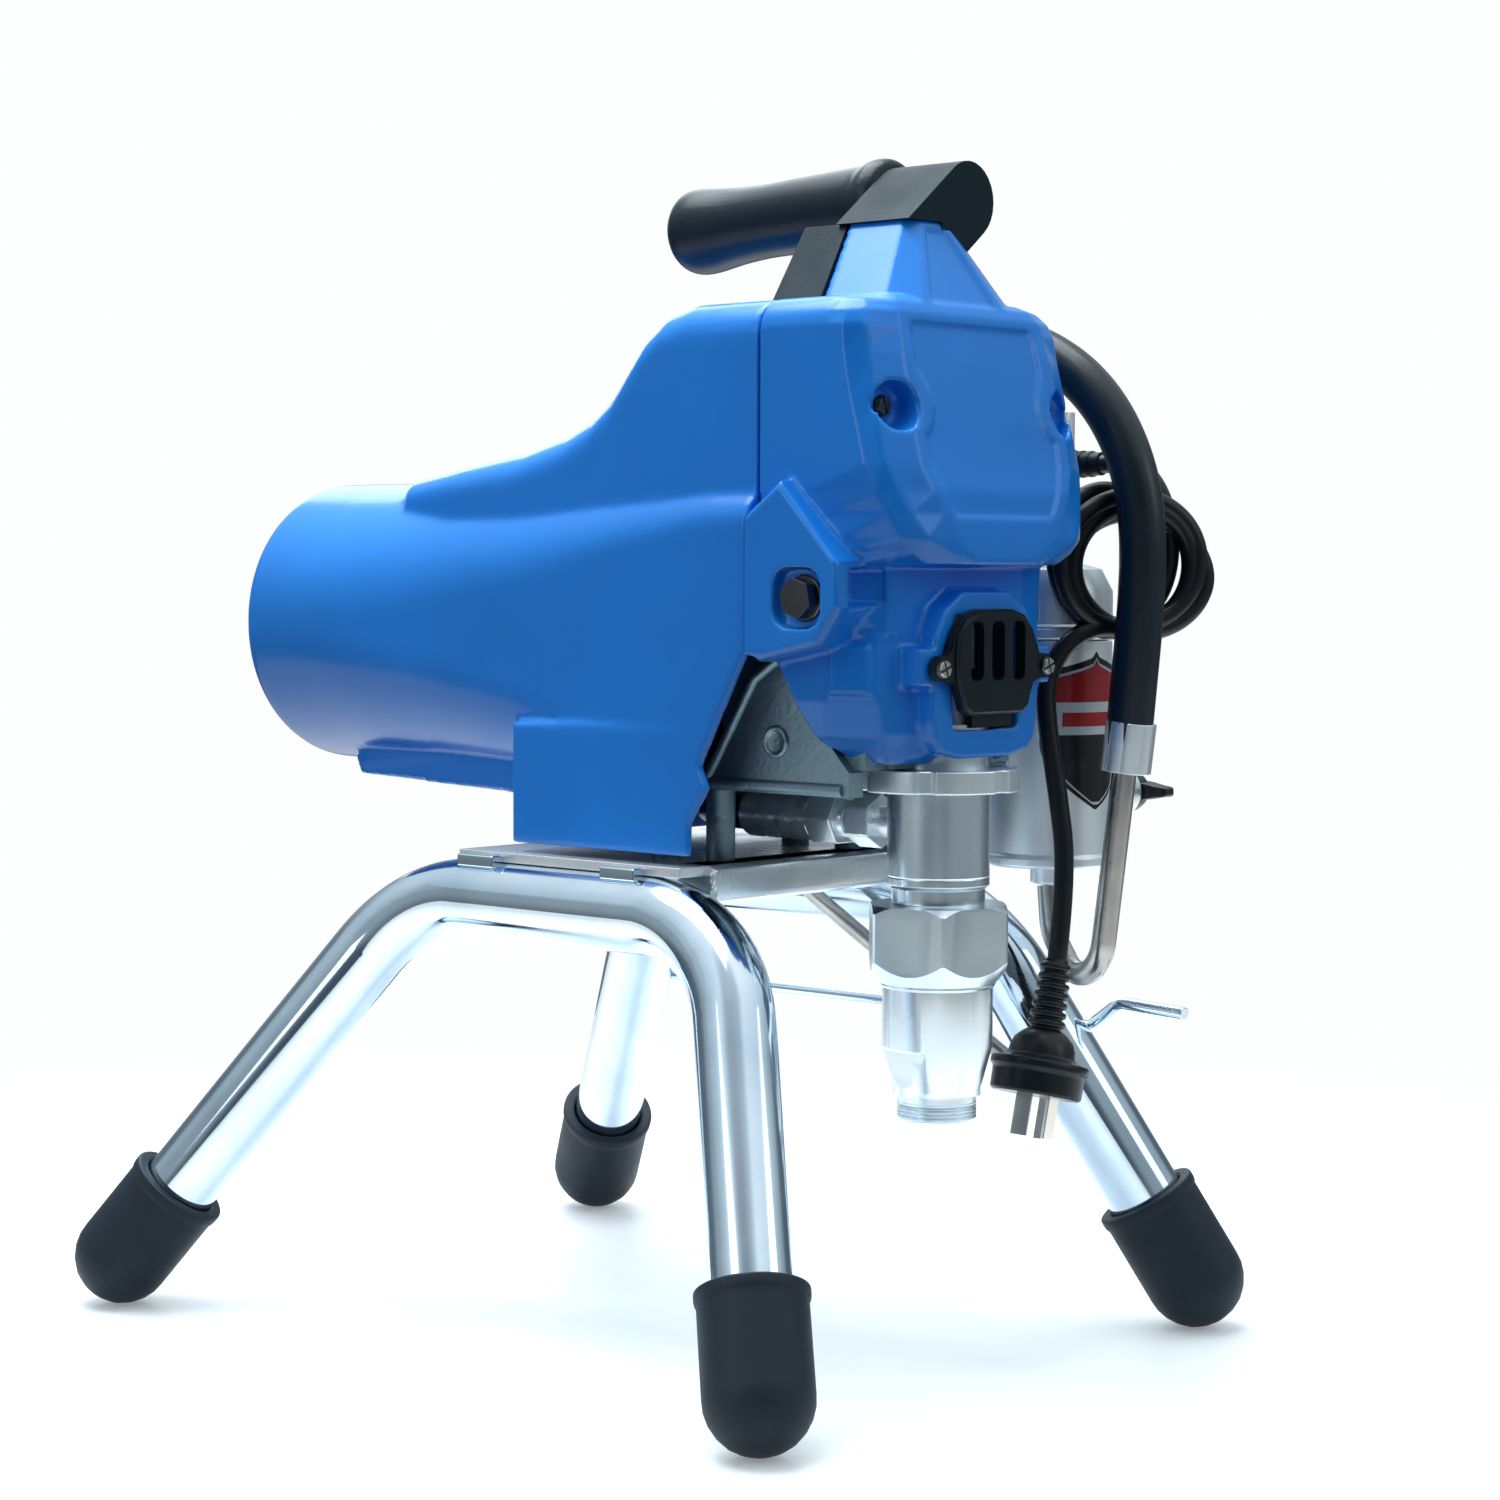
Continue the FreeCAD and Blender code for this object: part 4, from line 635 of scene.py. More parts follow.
make_pump()


# Fluid section -----------------------------------------------------------------------------------
OUTLET_UP = 205
OUTLET_START = -125.4
FILTER = (95, -123, 0)
FILTER_RADIUS = 24.0
VALVE_Y, VALVE_UP = -134, 211
SPRAY_Y, SPRAY_UP = -110, 238
DRAIN_TUBE_RADIUS = 4.75
FERRULE = (83.65, -167.6, 222.9)
HOSE_RADIUS = 9.0
OUTLET_HOSE_RADIUS = 7.0


def hexagon(width):
    """A nut's outline with eased corners; width is its outer radius."""
    return rounded_outline(regular(6, width), 0.8, 2)


def make_couplings():
    """Nuts and the crimped sleeve on the pump's outlet, and the hose to the filter."""
    fit = Build("outlet_couplings")
    start = (0, OUTLET_START, OUTLET_UP)
    fit.lathe([(0, -2), (6, -2), (6, 12), (0, 12)], start, ALONG_Y)
    fit.prism(hexagon(10.5), 11, (0, OUTLET_START + 9, OUTLET_UP), ALONG_Y, 30)
    fit.lathe([(0, 19.9), (7.0, 19.9), (7.2, 22), (6.6, 24), (7.2, 26), (7.0, 27.2), (0, 27.2)],
              start, ALONG_Y)
    fit.prism(hexagon(10.8), 13, (0, OUTLET_START + 27, OUTLET_UP), ALONG_Y)
    crimped = [(0, 40), (9.2, 40)]
    for groove in (44, 54, 64):
        crimped += [(9.2, groove), (8.7, groove + 1), (8.7, groove + 3), (9.2, groove + 4)]
    fit.lathe(crimped + [(9.2, 74), (0, 74)], start, ALONG_Y)
    fit.lathe([(0, 0), (9, 0), (9, 14.6), (8.2, 16), (0, 16)], (95, -100, OUTLET_UP), ALONG_Y)
    fit.done(["outlet_fittings"], "zinc_steel", "zinc", 0.45)
    hose = rounded([(0, -51.4, OUTLET_UP), (0, -3, OUTLET_UP), (95, -3, OUTLET_UP), (95, -84, OUTLET_UP)],
                   radius=47.3)
    hose = Build("pressure_hose").tube(hose, OUTLET_HOSE_RADIUS, 32)
    hose.done(["transfer_hose"], "hose_rubber", "hose", 0.3)


def make_filter():
    """Bowl with its side port, and the knurled cap."""
    body = Build("filter_bowl")
    body.lathe([(0, 175.2), (6.9, 175.2), (7.5, 176), (7.5, 183), (24.2, 183), (25, 183.8), (25, 187),
                (24, 188.2), (24, 271.6), (18, 271.6), (18, 190), (0, 190)], FILTER, segments=96)
    body.box((46.2, -121, 220.4), (74, -105.2, 239.6))
    body.done(["filter_housing"], "filter_steel", "filter", 0.6)
    cap = Build("filter_top")
    cap.lathe([(0, 276), (17.9, 276), (17.9, 266), (15, 266), (15, 264), (18, 264), (18, 272), (23.2, 272),
               (24, 272.8), (24, 276), (23.4, 276.6), (23.4, 277.4), (24, 278), (24, 291), (19.5, 299.6),
               (11, 302), (0, 302)], FILTER, segments=96)
    for across, along in regular(28, 23.6):
        cap.prism(regular(6, 0.55), 10, Vector(FILTER) + Vector((across, along, 279)))
    cap.done(["filter_cap"], "filter_steel", "filter", 0.5)


def make_valves():
    """Prime valve with its lever, spray outlet and pressure sensor."""
    valve = Build("prime_valve")
    valve.lathe([(4.06, 14), (10, 14), (10, 27.4), (9.2, 28.4), (4.06, 28.4)], (100.0, VALVE_Y, VALVE_UP),
                ALONG_X, ring=True)
    valve.prism(hexagon(9.9), 6, (113.5, VALVE_Y, VALVE_UP), ALONG_X)
    valve.done(["prime_valve_body"], "zinc_steel", "zinc", 0.4)
    knob = Build("prime_lever_wing")
    knob.lathe([(0, 0), (4, 0), (4, 7), (8.0, 7.2), (8.5, 8.5), (8.5, 12), (7.2, 15.4), (4, 17.4), (0, 18.2)],
               (121.5, VALVE_Y, VALVE_UP), ALONG_X, 48)
    # place along Y, half-thickness, inner and outer edge along X
    table = [(-4, 4.0, 129.6, 138.6), (-9, 3.4, 129.8, 138.6), (-14, 2.4, 130.2, 138.4),
             (-17.5, 2.0, 130.6, 138.0), (-19, 1.5, 131.4, 137.2)]
    knob.loft([[(across, VALVE_Y + along, VALVE_UP + side * thick)
                for across, side in ((low, -1), (high, -1), (high, 1), (low, 1))]
               for along, thick, low, high in table])
    knob.done(["prime_lever"], "knob_plastic", "knob", 0.8, body="prime_lever_body")

    outlet = Build("spray_outlet_nipple")
    outlet.prism(hexagon(9.5), 13.5, (114.0, SPRAY_Y, SPRAY_UP), ALONG_X)
    outlet.lathe([(0, -2), (8.4, -2), (8.4, 3), (0, 3)], (113.0, SPRAY_Y, SPRAY_UP), ALONG_X)
    profile = [(3.0, 12.4), (3.0, 0), (6.0, 0)]
    for turn in range(8):
        at = 0.5 + 1.45 * turn
        profile += [(6.0, at), (6.7, at + 0.45), (6.7, at + 0.75), (6.0, at + 1.2)]
    profile += [(5.6, 12.8), (5.0, 13.0), (3.4, 13.0)]
    outlet.lathe(profile, (127.4, SPRAY_Y, SPRAY_UP), ALONG_X, 48, ring=True)
    outlet.done(["spray_outlet"], "zinc_steel", "zinc", 0.2)
    sensor = Build("pressure_transducer")
    sensor.lathe([(0, 0), (9, 0), (9, 13.5), (8.2, 14.8), (5.5, 15), (5.5, 26), (4.8, 26.8), (0, 26.8)],
                 (88, -104, 256), ALONG_Y, 48)
    sensor.done(["pressure_sensor"], "brass_gland", "brass", 0.3)


def make_drain():
    """Bent drain pipe, crimped ferrule and the hose that goes back to its socket."""
    bend = rounded([(95, -123, 174.6), (94.6, -125, 156), (81, -156, 126), (83.6, -169, 236)], radius=15.5)
    pipe = Build("drain_pipe").tube(bend, DRAIN_TUBE_RADIUS, 40)
    pipe.done(["drain_tube"], "machined_steel", "stainless", 0.3)
    lean = Vector((2.4, -12.2, 103))
    ferrule = Build("crimped_ferrule")
    outline = scalloped(8, [(-14, 9.75), (0, 9.8), (14, 9.75), (22.5, 9.2)])
    ferrule.prism(outline, 19.4, Vector(FERRULE) - lean.normalized() * 0.8, lean)
    ferrule.done(["drain_ferrule"], "zinc_steel", "zinc", 0.4)

    route = [(83.65, -167.7, 223.9), (83.3, -171.6, 260), (83, -176, 294), (82.4, -175.0, 334),
             (81.5, -155.0, 370), (80.2, -118, 391), (80, -78, 390), (80, -44, 369), (80, -27, 333),
             (80, -25, 296)]
    hose = round_curve("drain_return_hose", route, HOSE_RADIUS, 4, 16, 10, "hose")
    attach(hose, "base")
    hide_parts("drain_hose")
    holder = Build("hose_socket")
    cup = [(0, 287), (12, 287), (12.5, 287.6), (12.5, 311.4), (12, 312), (9.2, 312), (9.2, 290), (0, 290)]
    holder.lathe(cup, (80, -25, 0), segments=48)
    holder.box((64.4, -30.8, 292.2), (71.5, -19.2, 307.8))
    holder.done(["hose_holder"], "black_plastic", "black", 0.6)


def make_badge():
    """A shield-shaped label wrapped on the filter: dark border, red, white and dark bands, no words."""
    badge = Build("filter_label")
    facing = math.radians(264)
    tip_up, widest_up, widest = 205.8, 27.0, 24.0

    def half_width(height, inset):
        """Half the shield's width at a height above its lower tip."""
        share = min(1.0, max(0.0, height / widest_up))
        return max(0.0, widest * (1.0 - (1.0 - share) ** 2) - inset * 1.1)

    def patch(low, high, inset, lift, index, peak=None, count=26):
        """One printed area, up to a level top at high or to a pitched top with its middle at peak."""
        badge.paint(index)
        corners, faces = [], []
        for row in range(count + 1):
            for column in range(count + 1):
                share = 2 * column / count - 1
                height = low + (high - low) * row / count
                across = half_width(height, inset) * share
                if peak is not None:
                    top = peak - 6.0 * abs(across / 21.0) ** 0.8 + (1.5 if abs(across) < 0.8 else 0)
                    height = low + (top - low) * row / count
                    across = half_width(height, inset) * share
                angle = facing + across / FILTER_RADIUS
                radius = FILTER_RADIUS + lift
                corners.append((FILTER[0] + radius * math.cos(angle), FILTER[1] + radius * math.sin(angle),
                                tip_up + height))
        for row in range(count):
            for column in range(count):
                start = row * (count + 1) + column
                faces.append((start, start + 1, start + count + 2, start + count + 1))
        badge.add(corners, faces)

    patch(0.3, 59, 0.0, 0.12, 0, 60.4)
    patch(2.2, 57, 2.1, 0.20, 1, 58.0)
    patch(3.3, 56, 3.1, 0.28, 0, 56.9)
    patch(42.3, 55, 3.1, 0.36, 2, 56.9)
    patch(29.5, 42.2, 2.1, 0.36, 1)
    patch(32.8, 38.2, 8.0, 0.42, 2)
    badge.done(["filter_badge"], "badge_print", ["label_black", "label_white", "label_red"], 0)


make_couplings()
make_filter()
make_badge()
make_valves()
make_drain()


# Controls ----------------------------------------------------------------------------------------
def make_controls():
    """Ribbed box with its dial, rocker and scale."""
    left, right, front, rear = 68.5, 121.0, -116.0, -58.0
    dial_y, dial_up = -78, 334
    corners = [(left, front), (right, front), (right, rear), (left, rear)]
    solid = Build("control_housing").prism(rounded_outline(corners, 4), 56, (0, 0, 306)).object()
    cuts = []
    for index in range(6):
        at = left + 8 + 7.4 * index
        cuts.append(Build("tool").box((at, front - 1, 304), (at + 1.8, front + 2.2, 364)).object())
    for index in range(6):
        at = front + 9 + 7.2 * index
        cuts.append(Build("tool").box((right - 1.2, at, 304), (right + 1, at + 1.4, 316)).object())
    pocket = Build("tool").box((right - 4, -108, 324), (right + 1, -96, 346)).object()
    inside = Build("tool").box((left + 3, front + 5, 309), (right - 3, rear - 3, 359)).object()
    shaft = Build("tool").lathe([(0, 0), (3.05, 0), (3.05, 10), (0, 10)], (right - 6, dial_y, dial_up),
                                ALONG_X).object()
    carve(solid, cuts + [pocket, inside, shaft])
    dress(solid, ["control_box"], "alu", 0.35)
    knob = Build("pressure_control_knob")
    knob.prism(scalloped(18, [(0, 11.7), (10, 12.5)]), 10.5, (right + 0.4, dial_y, dial_up), ALONG_X)
    knob.lathe([(0, -6), (3, -6), (3, 0.6), (0, 0.6)], (right, dial_y, dial_up), ALONG_X, 32)
    knob.lathe([(0, 10.6), (11.4, 10.6), (10.6, 14.0), (0, 14.4)], (right, dial_y, dial_up), ALONG_X, 48)
    knob.paint(1).box((right + 13.6, -78.8, 336), (right + 15.2, -77.2, 343.5))
    knob.done(["pressure_knob"], "knob_plastic", ["knob", "white"], 0.35, body="pressure_knob_body")
    rocker = Build("rocker_switch")
    section = [(-9, 0), (-9, 3.2), (-5, 1.9), (0, 1.5), (5, 1.9), (9, 3.2), (9, 0)]
    corners = [(right + 0.35 + up, -107, 335 + across) for across, up in section]
    rocker.loft([corners, [(x, -97, height) for x, _, height in corners]])
    rocker.paint(1).box((right + 1.7, -102.4, 338.2), (right + 3.2, -101.6, 341.4))
    rocker.done(["power_switch"], "knob_plastic", ["knob", "white"], 0.3, body="switch_rocker")
    bezel = Build("control_bezel")
    bezel.lathe([(14.6, 0), (17, 0), (17, 0.5), (16.4, 0.9), (14.6, 0.9)], (right - 0.2, dial_y, dial_up),
                ALONG_X, 64, ring=True)
    for index in range(9):
        angle = math.radians(-135 + 33.75 * index)
        dot = (right - 0.2, dial_y + 19.4 * math.sin(angle), dial_up + 19.4 * math.cos(angle))
        bezel.paint(1).prism(regular(8, 0.55), 1.0, dot, ALONG_X)
    bezel.done([], "knob_plastic", ["knob", "label_black"], 0.15)


make_controls()


# Blue covers -------------------------------------------------------------------------------------
WALL = 3.0
UPPER_SCREW_UP = 357
BOLT_Y, BOLT_UP = -132.5, 289
GUARD_SCREW = (30.4, -169.2, 263.9)


def rounded_section(half, low, high, radius, along, count=8):
    """A rounded rectangle across the machine at one place along Y."""
    corners = []
    for side, up, start in ((1, 1, 0), (-1, 1, 90), (-1, -1, 180), (1, -1, 270)):
        x, z = side * (half - radius), high - radius if up > 0 else low + radius
        for index in range(count + 1):
            angle = math.radians(start + 90.0 * index / count)
            corners.append((x + radius * math.cos(angle), along, z + radius * math.sin(angle)))
    return corners


def shroud_parts(inset):
    """The barrel that grows into the gear case, and the raised spine."""
    i = inset
    front = -106.6 - (3 if i else 0)
    # half-width, bottom, top, corner radius, place along Y
    table = [(53 - i, 223 + i, 329 - i, 52 - i, 189 - i), (57.4 - i, 218.6 + i, 333.4 - i, 56.4 - i, 187 - i),
             (59 - i, 217 + i, 335 - i, 58 - i, 183 - i), (59.6 - i, 216.4 + i, 335 - i, 58 - i, 150 - i),
             (61.5 - i, 215.4 + i, 334.6 - i, 52 - i, 85), (63.5 - i, 214.6 + i, 332.5 - i, 40 - i, 20),
             (65 - i, 214 + i, 330 - i, 24 - i, -40), (66 - i, 214 + i, 328.5 - i, 14, -85),
             (66 - i, 214 + i, 327.6 - i, 12, front)]
    barrel = Build("shroud").loft([rounded_section(*row, count=22) for row in table]).object()
    # place along Y, top, half-width, corner radius
    line = [(128, 333, 22, 8), (104, 335, 42, 10), (70, 339.5, 49, 12), (30, 345, 53, 14), (2, 351.5, 55, 14),
            (-14, 358, 56, 14), (-27, 367, 57, 14), (-37, 378, 58, 14), (-46, 388, 58.5, 14),
            (-56, 394.5, 59, 14), (-68, 397, 59.5, 14), (-85, 397, 60, 14), (front, 397, 60, 14)]
    spine = Build("spine").loft([rounded_section(half - i, 290, top - i, radius - min(i, 2), along)
                                 for along, top, half, radius in line]).object()
    return barrel, spine


def make_shroud():
    """The rear cover, hollow, with cooling slots in the barrel's end."""
    outer, spine = shroud_parts(0.0)
    skirt = Build("skirt").box((-65.8, -108, 193), (65.8, 16, 240)).object()
    rib = Build("rib").loft([[(-30, 150, 219), (30, 150, 219), (24, 150, 225), (-24, 150, 225)],
                             [(-36, 140, 213), (36, 140, 213), (30, 140, 225), (-30, 140, 225)],
                             [(-52, 10, 210), (52, 10, 210), (48, 10, 230), (-48, 10, 230)]]).object()
    carve(outer, [spine, skirt, rib], "UNION")
    inner, inner_spine = shroud_parts(WALL)
    inner_skirt = Build("tool").box((-62.8, -112, 185), (62.8, 13, 240)).object()
    carve(inner, [inner_spine, inner_skirt], "UNION")
    edge = [(-200, 271), (-107.9, 271), (-84, 227), (-88, 219), (-78.4, 205), (-78, 150), (-200, 150)]
    # Hollow, the sloping front edge below, the hose's way and the handle's way.
    tools = [inner, side_cut(edge, 100), Build("tool").box((55, -40, 196), (75, 30, 216)).object(),
             Build("tool").box((-26, -110, 385), (26, -90, 405)).object()]
    for index in range(9):
        across = -34 + 8.5 * index
        half = math.sqrt(42.0 ** 2 - across ** 2)
        slot = rounded_outline([(-2, -half), (2, -half), (2, half), (-2, half)], 1.9, 3)
        tools.append(Build("tool").prism(slot, 20, (across, 178, 276), ALONG_Y).object())
    carve(outer, tools)
    moulded(outer, 1.3, 5)
    dress(outer, ["motor_shroud"], "blue", 0)


def side_cut(outline, half):
    """A cutter across the machine from an outline in (Y, Z)."""
    return Build("tool").loft([[(across, along, up) for along, up in outline]
                               for across in (-half, half)]).object()


def stacked(levels, inset, name):
    """A loft of level outlines. A level has its height and the right half's (x, y), from rear to front."""
    rings = []
    for up, half in levels:
        points = []
        for across, along in half:
            points.append((across - inset, along if along > -110 else along + inset, up))
        rings.append(points + [(-x, y, z) for x, y, z in reversed(points)])
    return Build(name).loft(rings).object()


def cover_parts(inset):
    """Rounded box, faceted front above, faceted bowl below."""
    i = inset
    seam = -94.0 if i else -105.0
    box = Build("cover").loft([rounded_section(60 - i, 328 + i, 397 - i, 12 - i, seam),
                               rounded_section(60 - i, 328 + i, 397 - i, 12 - i, -140 + i)]).object()
    brow = stacked([
        (301 + i, [(57, seam), (57, -146), (38, -168), (22, -173.4), (16, -174.4)]),
        (305 + i, [(57.5, seam), (57, -146), (46, -168.5), (31.5, -173.4), (22, -174.4)]),
        (310, [(58.5, seam), (58, -144), (52.4, -168.2), (43.3, -173.2), (27.5, -174.2)]),
        (319, [(59, seam), (59, -138), (55.8, -165), (49.6, -170.4), (34.2, -173.6)]),
        (327, [(60, seam), (60, -131), (58.3, -161.5), (53.5, -167.5), (38.9, -172.6)]),
        (336, [(60, seam), (60, -125), (60, -157), (57, -164.4), (43.5, -170.2)]),
        (348, [(60, seam), (60, -125), (60, -154), (56.8, -161.6), (43.8, -167.3)]),
        (360, [(60, seam), (60, -125), (60, -150.8), (56, -158.8), (43.6, -164.4)]),
        (376, [(60, seam), (60, -125), (60, -147.8), (55.3, -155), (42.5, -160.5)]),
        (386 - i, [(60, seam), (60, -125), (60, -147.4), (55.3, -153), (41, -157.6)]),
        (391 - i, [(58.3, seam), (58.3, -125), (58, -146.4), (53.8, -151.2), (40, -156.4)]),
        (395 - i, [(54.5, seam), (54.5, -125), (54, -143.5), (50.5, -148.2), (38, -154.2)]),
        (397 - i, [(48, seam), (48, -125), (48, -139.5), (45.5, -144), (35, -150)])], i, "brow")
    bowl = stacked([
        (215 if i else 228, [(40, seam), (38, -128), (34, -146), (24, -153)]),
        (232, [(48, seam), (45, -130), (38.5, -150), (28, -157)]),
        (240, [(54, seam), (51, -132.5), (43.5, -152.5), (31, -157)]),
        (252, [(57, seam), (54.6, -133.6), (47, -153), (32, -157)]),
        (275, [(58, seam), (55, -133.6), (47, -153), (32, -157)]),
        (277.5, [(58, seam), (55.6, -140), (44, -155), (31, -157)]),
        (286, [(58, seam), (56.6, -143), (43, -155.6), (31, -157)]),
        (308, [(58, seam), (57, -145), (43.5, -157), (31, -158)])], i, "bowl")
    return box, brow, bowl


def lug_part():
    """The raised pad around the bolt on the left flank, its outer face slightly smaller."""
    line = [(-105, 317), (-124, 331), (-151, 302), (-152, 286), (-142, 272), (-114, 266), (-105, 266)]
    face = [(-68, along * 0.985 - 2.0, 298 + (up - 298) * 0.93) for along, up in line]
    return Build("lug").loft([face] + [[(across, along, up) for along, up in line]
                                       for across in (-66.4, -40)]).object()


def front_outline(half, front, depth, name):
    """A prism along Y from a mirrored outline; front and depth are Y places."""
    whole = list(half) + [(-x, z) for x, z in reversed(half)]
    return Build(name).loft([[(x, along, z) for x, z in whole] for along in (front, depth)]).object()


def make_cover():
    """The front cover, hollow, with the tower below the handle and the guard's raised ring."""
    outer, *parts = cover_parts(0.0)
    lug = lug_part()
    tower = stacked([(391, [(38, -113), (38, -147), (24, -154.5)]),
                     (394, [(38, -117), (38, -147), (24, -154.6)]),
                     (427, [(13, -110), (13, -135.5), (7, -138.5)])], 0, "tower")
    arch = [(15, 231), (24, 233), (29, 238), (30.6, 245), (30.6, 268), (29, 276), (24, 285), (14, 291.5)]
    ring = front_outline(arch, -150, -165.4, "ring")
    bosses = Build("bosses")
    for side in (-1, 1):
        bosses.box((side * 32 - 6, -165.4, 257.5), (side * 32 + 6, -150, 271))
    pad = Build("flank_pads")
    for side in (-1, 1):
        root = ((54.2, -136.5, 254), (47.8, -151.5, 254), (47.8, -151.5, 273), (54.2, -136.5, 273))
        crest = ((56.6, -138.5, 255), (50.2, -151.5, 255), (50.2, -151.5, 271), (56.6, -138.5, 271))
        pad.loft([[(side * x, y, z) for x, y, z in corners] for corners in (root, crest)])
    carve(outer, parts + [lug, tower, ring, bosses.object(), pad.object()], "UNION")
    hollow = cover_parts(WALL)
    # Solid bosses stay behind the two upper screws.
    for part in hollow[:2]:
        bosses = Build("bosses")
        for side in (-1, 1):
            place = (side * 47.0, -145.6, UPPER_SCREW_UP)
            bosses.lathe([(0, 0), (11.5, 0), (11.5, 40), (0, 40)], place, FORWARD, 32)
        carve(part, [bosses.object()])
    carve(outer, hollow)
    rear_edge = [(-90, 268), (-112, 268), (-128, 237), (-141, 228), (-141, 210), (-90, 210)]
    # Behind the seam, the open rear edge, the guard's window, then the ways of the pump, rod and handle.
    tools = [Build("tool").box((-150, -107.4, 100), (150, 0, 500)).object(), side_cut(rear_edge, 90),
             Build("tool").box((-19, -185, 241.4), (19, -150, 283)).object(),
             Build("tool").lathe([(0, 202), (21, 202), (21, 243), (0, 243)], PUMP).object(),
             Build("tool").lathe([(0, 225), (12.6, 225), (12.6, 306), (0, 306)], PUMP).object(),
             Build("tool").box((-26, -117, 388), (26, -87, 402)).object()]
    screw_pocket = [(0, 0), (7.0, 0), (8.6, 1.4), (9.2, 24), (0, 24)]
    for side in (-1, 1):
        place = (side * 47.6, -153.9, UPPER_SCREW_UP)
        tools.append(Build("tool").lathe(screw_pocket, place, FORWARD, 32).object())
    pocket = rounded_outline([(-11, -11), (11, -11), (11, 11), (-11, 11)], 8, 4)
    tools.append(Build("tool").prism(pocket, 12, (-62.5, BOLT_Y, BOLT_UP), BACK_X).object())
    # A shallow field pressed into the front, one into the tower's face, and a recess in each flank.
    field = [(317.5, 27, -173.65), (320, 30, -173.5), (327, 33.5, -172.6), (337, 37.5, -170.0),
             (346, 38.5, -167.8), (351, 33.0, -166.6), (357, 30.5, -165.1), (363, 31.5, -163.6),
             (371, 36.5, -161.6), (384, 36, -158.2), (388, 33.5, -157.1)]
    tools.append(stacked([(up, [(wide, surface + 0.9), (wide, surface - 9)]) for up, wide, surface in field],
                         0, "tool"))
    face = [(19, -154.1, 395), (6.2, -140.2, 423.5), (-6.2, -140.2, 423.5), (-19, -154.1, 395)]
    tools.append(Build("tool").loft([[(x, y + shift, z) for x, y, z in face]
                                     for shift in (1.0, -9.0)]).object())
    recess = Build("tool")
    for side in (-1, 1):
        corners = ((53.6, -143.7, 287), (43.6, -152.9, 287), (43.6, -152.9, 300), (53.6, -143.7, 300))
        recess.loft([[(side * x, y, z) for x, y, z in corners],
                     [(side * (x + 9), y - 9.5, z - (3 if z < 290 else 0)) for x, y, z in corners]])
    tools.append(recess.object())
    carve(outer, tools)
    moulded(outer, 1.0, 5)
    dress(outer, ["front_cover"], "blue", 0)


def make_guard():
    """Flanged plate with screw ears, its domed middle pierced by three upright slots."""
    half = [(15, 246.8), (18.6, 249), (19.8, 252.5), (21.5, 257.5), (27, 259.5), (31.5, 259.6), (34.3, 262.6),
            (34.3, 266), (31.6, 268.4), (26.5, 268.8), (24.6, 271), (22.6, 277.5), (17.6, 282.8), (10, 285)]
    solid = front_outline(half, -166.3, -169.2, "pump_cover_guard")
    inner = [(15, 247.2), (18.6, 249.4), (19.8, 253), (22.8, 260), (23.2, 268), (22.2, 276.3), (17.2, 281.8),
             (10, 283.9)]
    whole = inner + [(-x, up) for x, up in inner[::-1]]
    dome = Build("dome").loft([[(x, -167.5, up) for x, up in whole], [(x, -169.9, up) for x, up in whole],
                               [(x * 0.95, -170.9, 266 + (up - 266) * 0.955) for x, up in whole]]).object()
    carve(solid, [dome], "UNION")
    slot = rounded_outline([(-3.7, -10.9), (3.7, -10.9), (3.7, 10.9), (-3.7, 10.9)], 3.3, 4)
    carve(solid, [Build("tool").loft([[(across + x, depth, 270 + up) for x, up in slot]
                                      for depth in (-160, -180)]).object() for across in (-12.2, 0, 12.2)])
    dress(solid, ["pump_guard"], "black", 0.3)
    # A dark baffle closes the right part of the opening below the guard.
    baffle = Build("pump_guard_baffle").box((-6, -163.5, 241.8), (18, -160.5, 252))
    baffle.done([], "black_plastic", "black", 0.2)


def phillips(build, centre, axis, radius, height, shade=0):
    """A pan head with a cross recess: a dark head under four raised quarters in the given look; with steel
    quarters the cross between them is painted shade.
    """
    # The head keeps the build's current look, the dark one here; between steel quarters it shows as painted
    # shade in the cross recess.
    build.lathe([(0, 0), (radius, 0), (radius * 0.96, height * 0.45), (radius * 0.8, height * 0.72),
                 (0, height * 0.74)], centre, axis, 40)
    build.paint(shade)
    for index in range(4):
        quarter = []
        for angle in (11, 30, 60, 79):
            turn = math.radians(angle + 90 * index)
            quarter.append((radius * 0.9 * math.cos(turn), radius * 0.9 * math.sin(turn)))
        middle = math.radians(45 + 90 * index)
        quarter.append((radius * 0.26 * math.cos(middle), radius * 0.26 * math.sin(middle)))
        build.prism(quarter, height * 0.36, Vector(centre) + Vector(axis) * height * 0.63, axis, 20, 0.9)
    build.paint(0)


def make_fasteners():
    """Four cover screws and the flank bolt."""
    screws = Build("cover_screws")
    for side in (-1, 1):
        across, along, up = GUARD_SCREW
        phillips(screws, (side * 47.3, -153.8, UPPER_SCREW_UP), FORWARD, 4.0, 2.6)
        # Guard screws: steel quarters on a dark head, so their cross recess is painted shade.
        phillips(screws, (side * across, along, up), FORWARD, 3.5, 2.2, 1)
    washer = [(0, 0), (8.4, 0), (8.4, 1.0), (7.8, 1.4), (0, 1.4)]
    screws.lathe(washer, (-62.4, BOLT_Y, BOLT_UP), BACK_X, 40)
    screws.prism(hexagon(7.5), 5.0, (-63.6, BOLT_Y, BOLT_UP), BACK_X, 12)
    # The dark look colours the upper screws and the bolt, and is painted shade in the guard screws' cross
    # recesses.
    screws.done(["cover_fasteners"], "dark_fastener", ["dark", "screw"], 0.12)


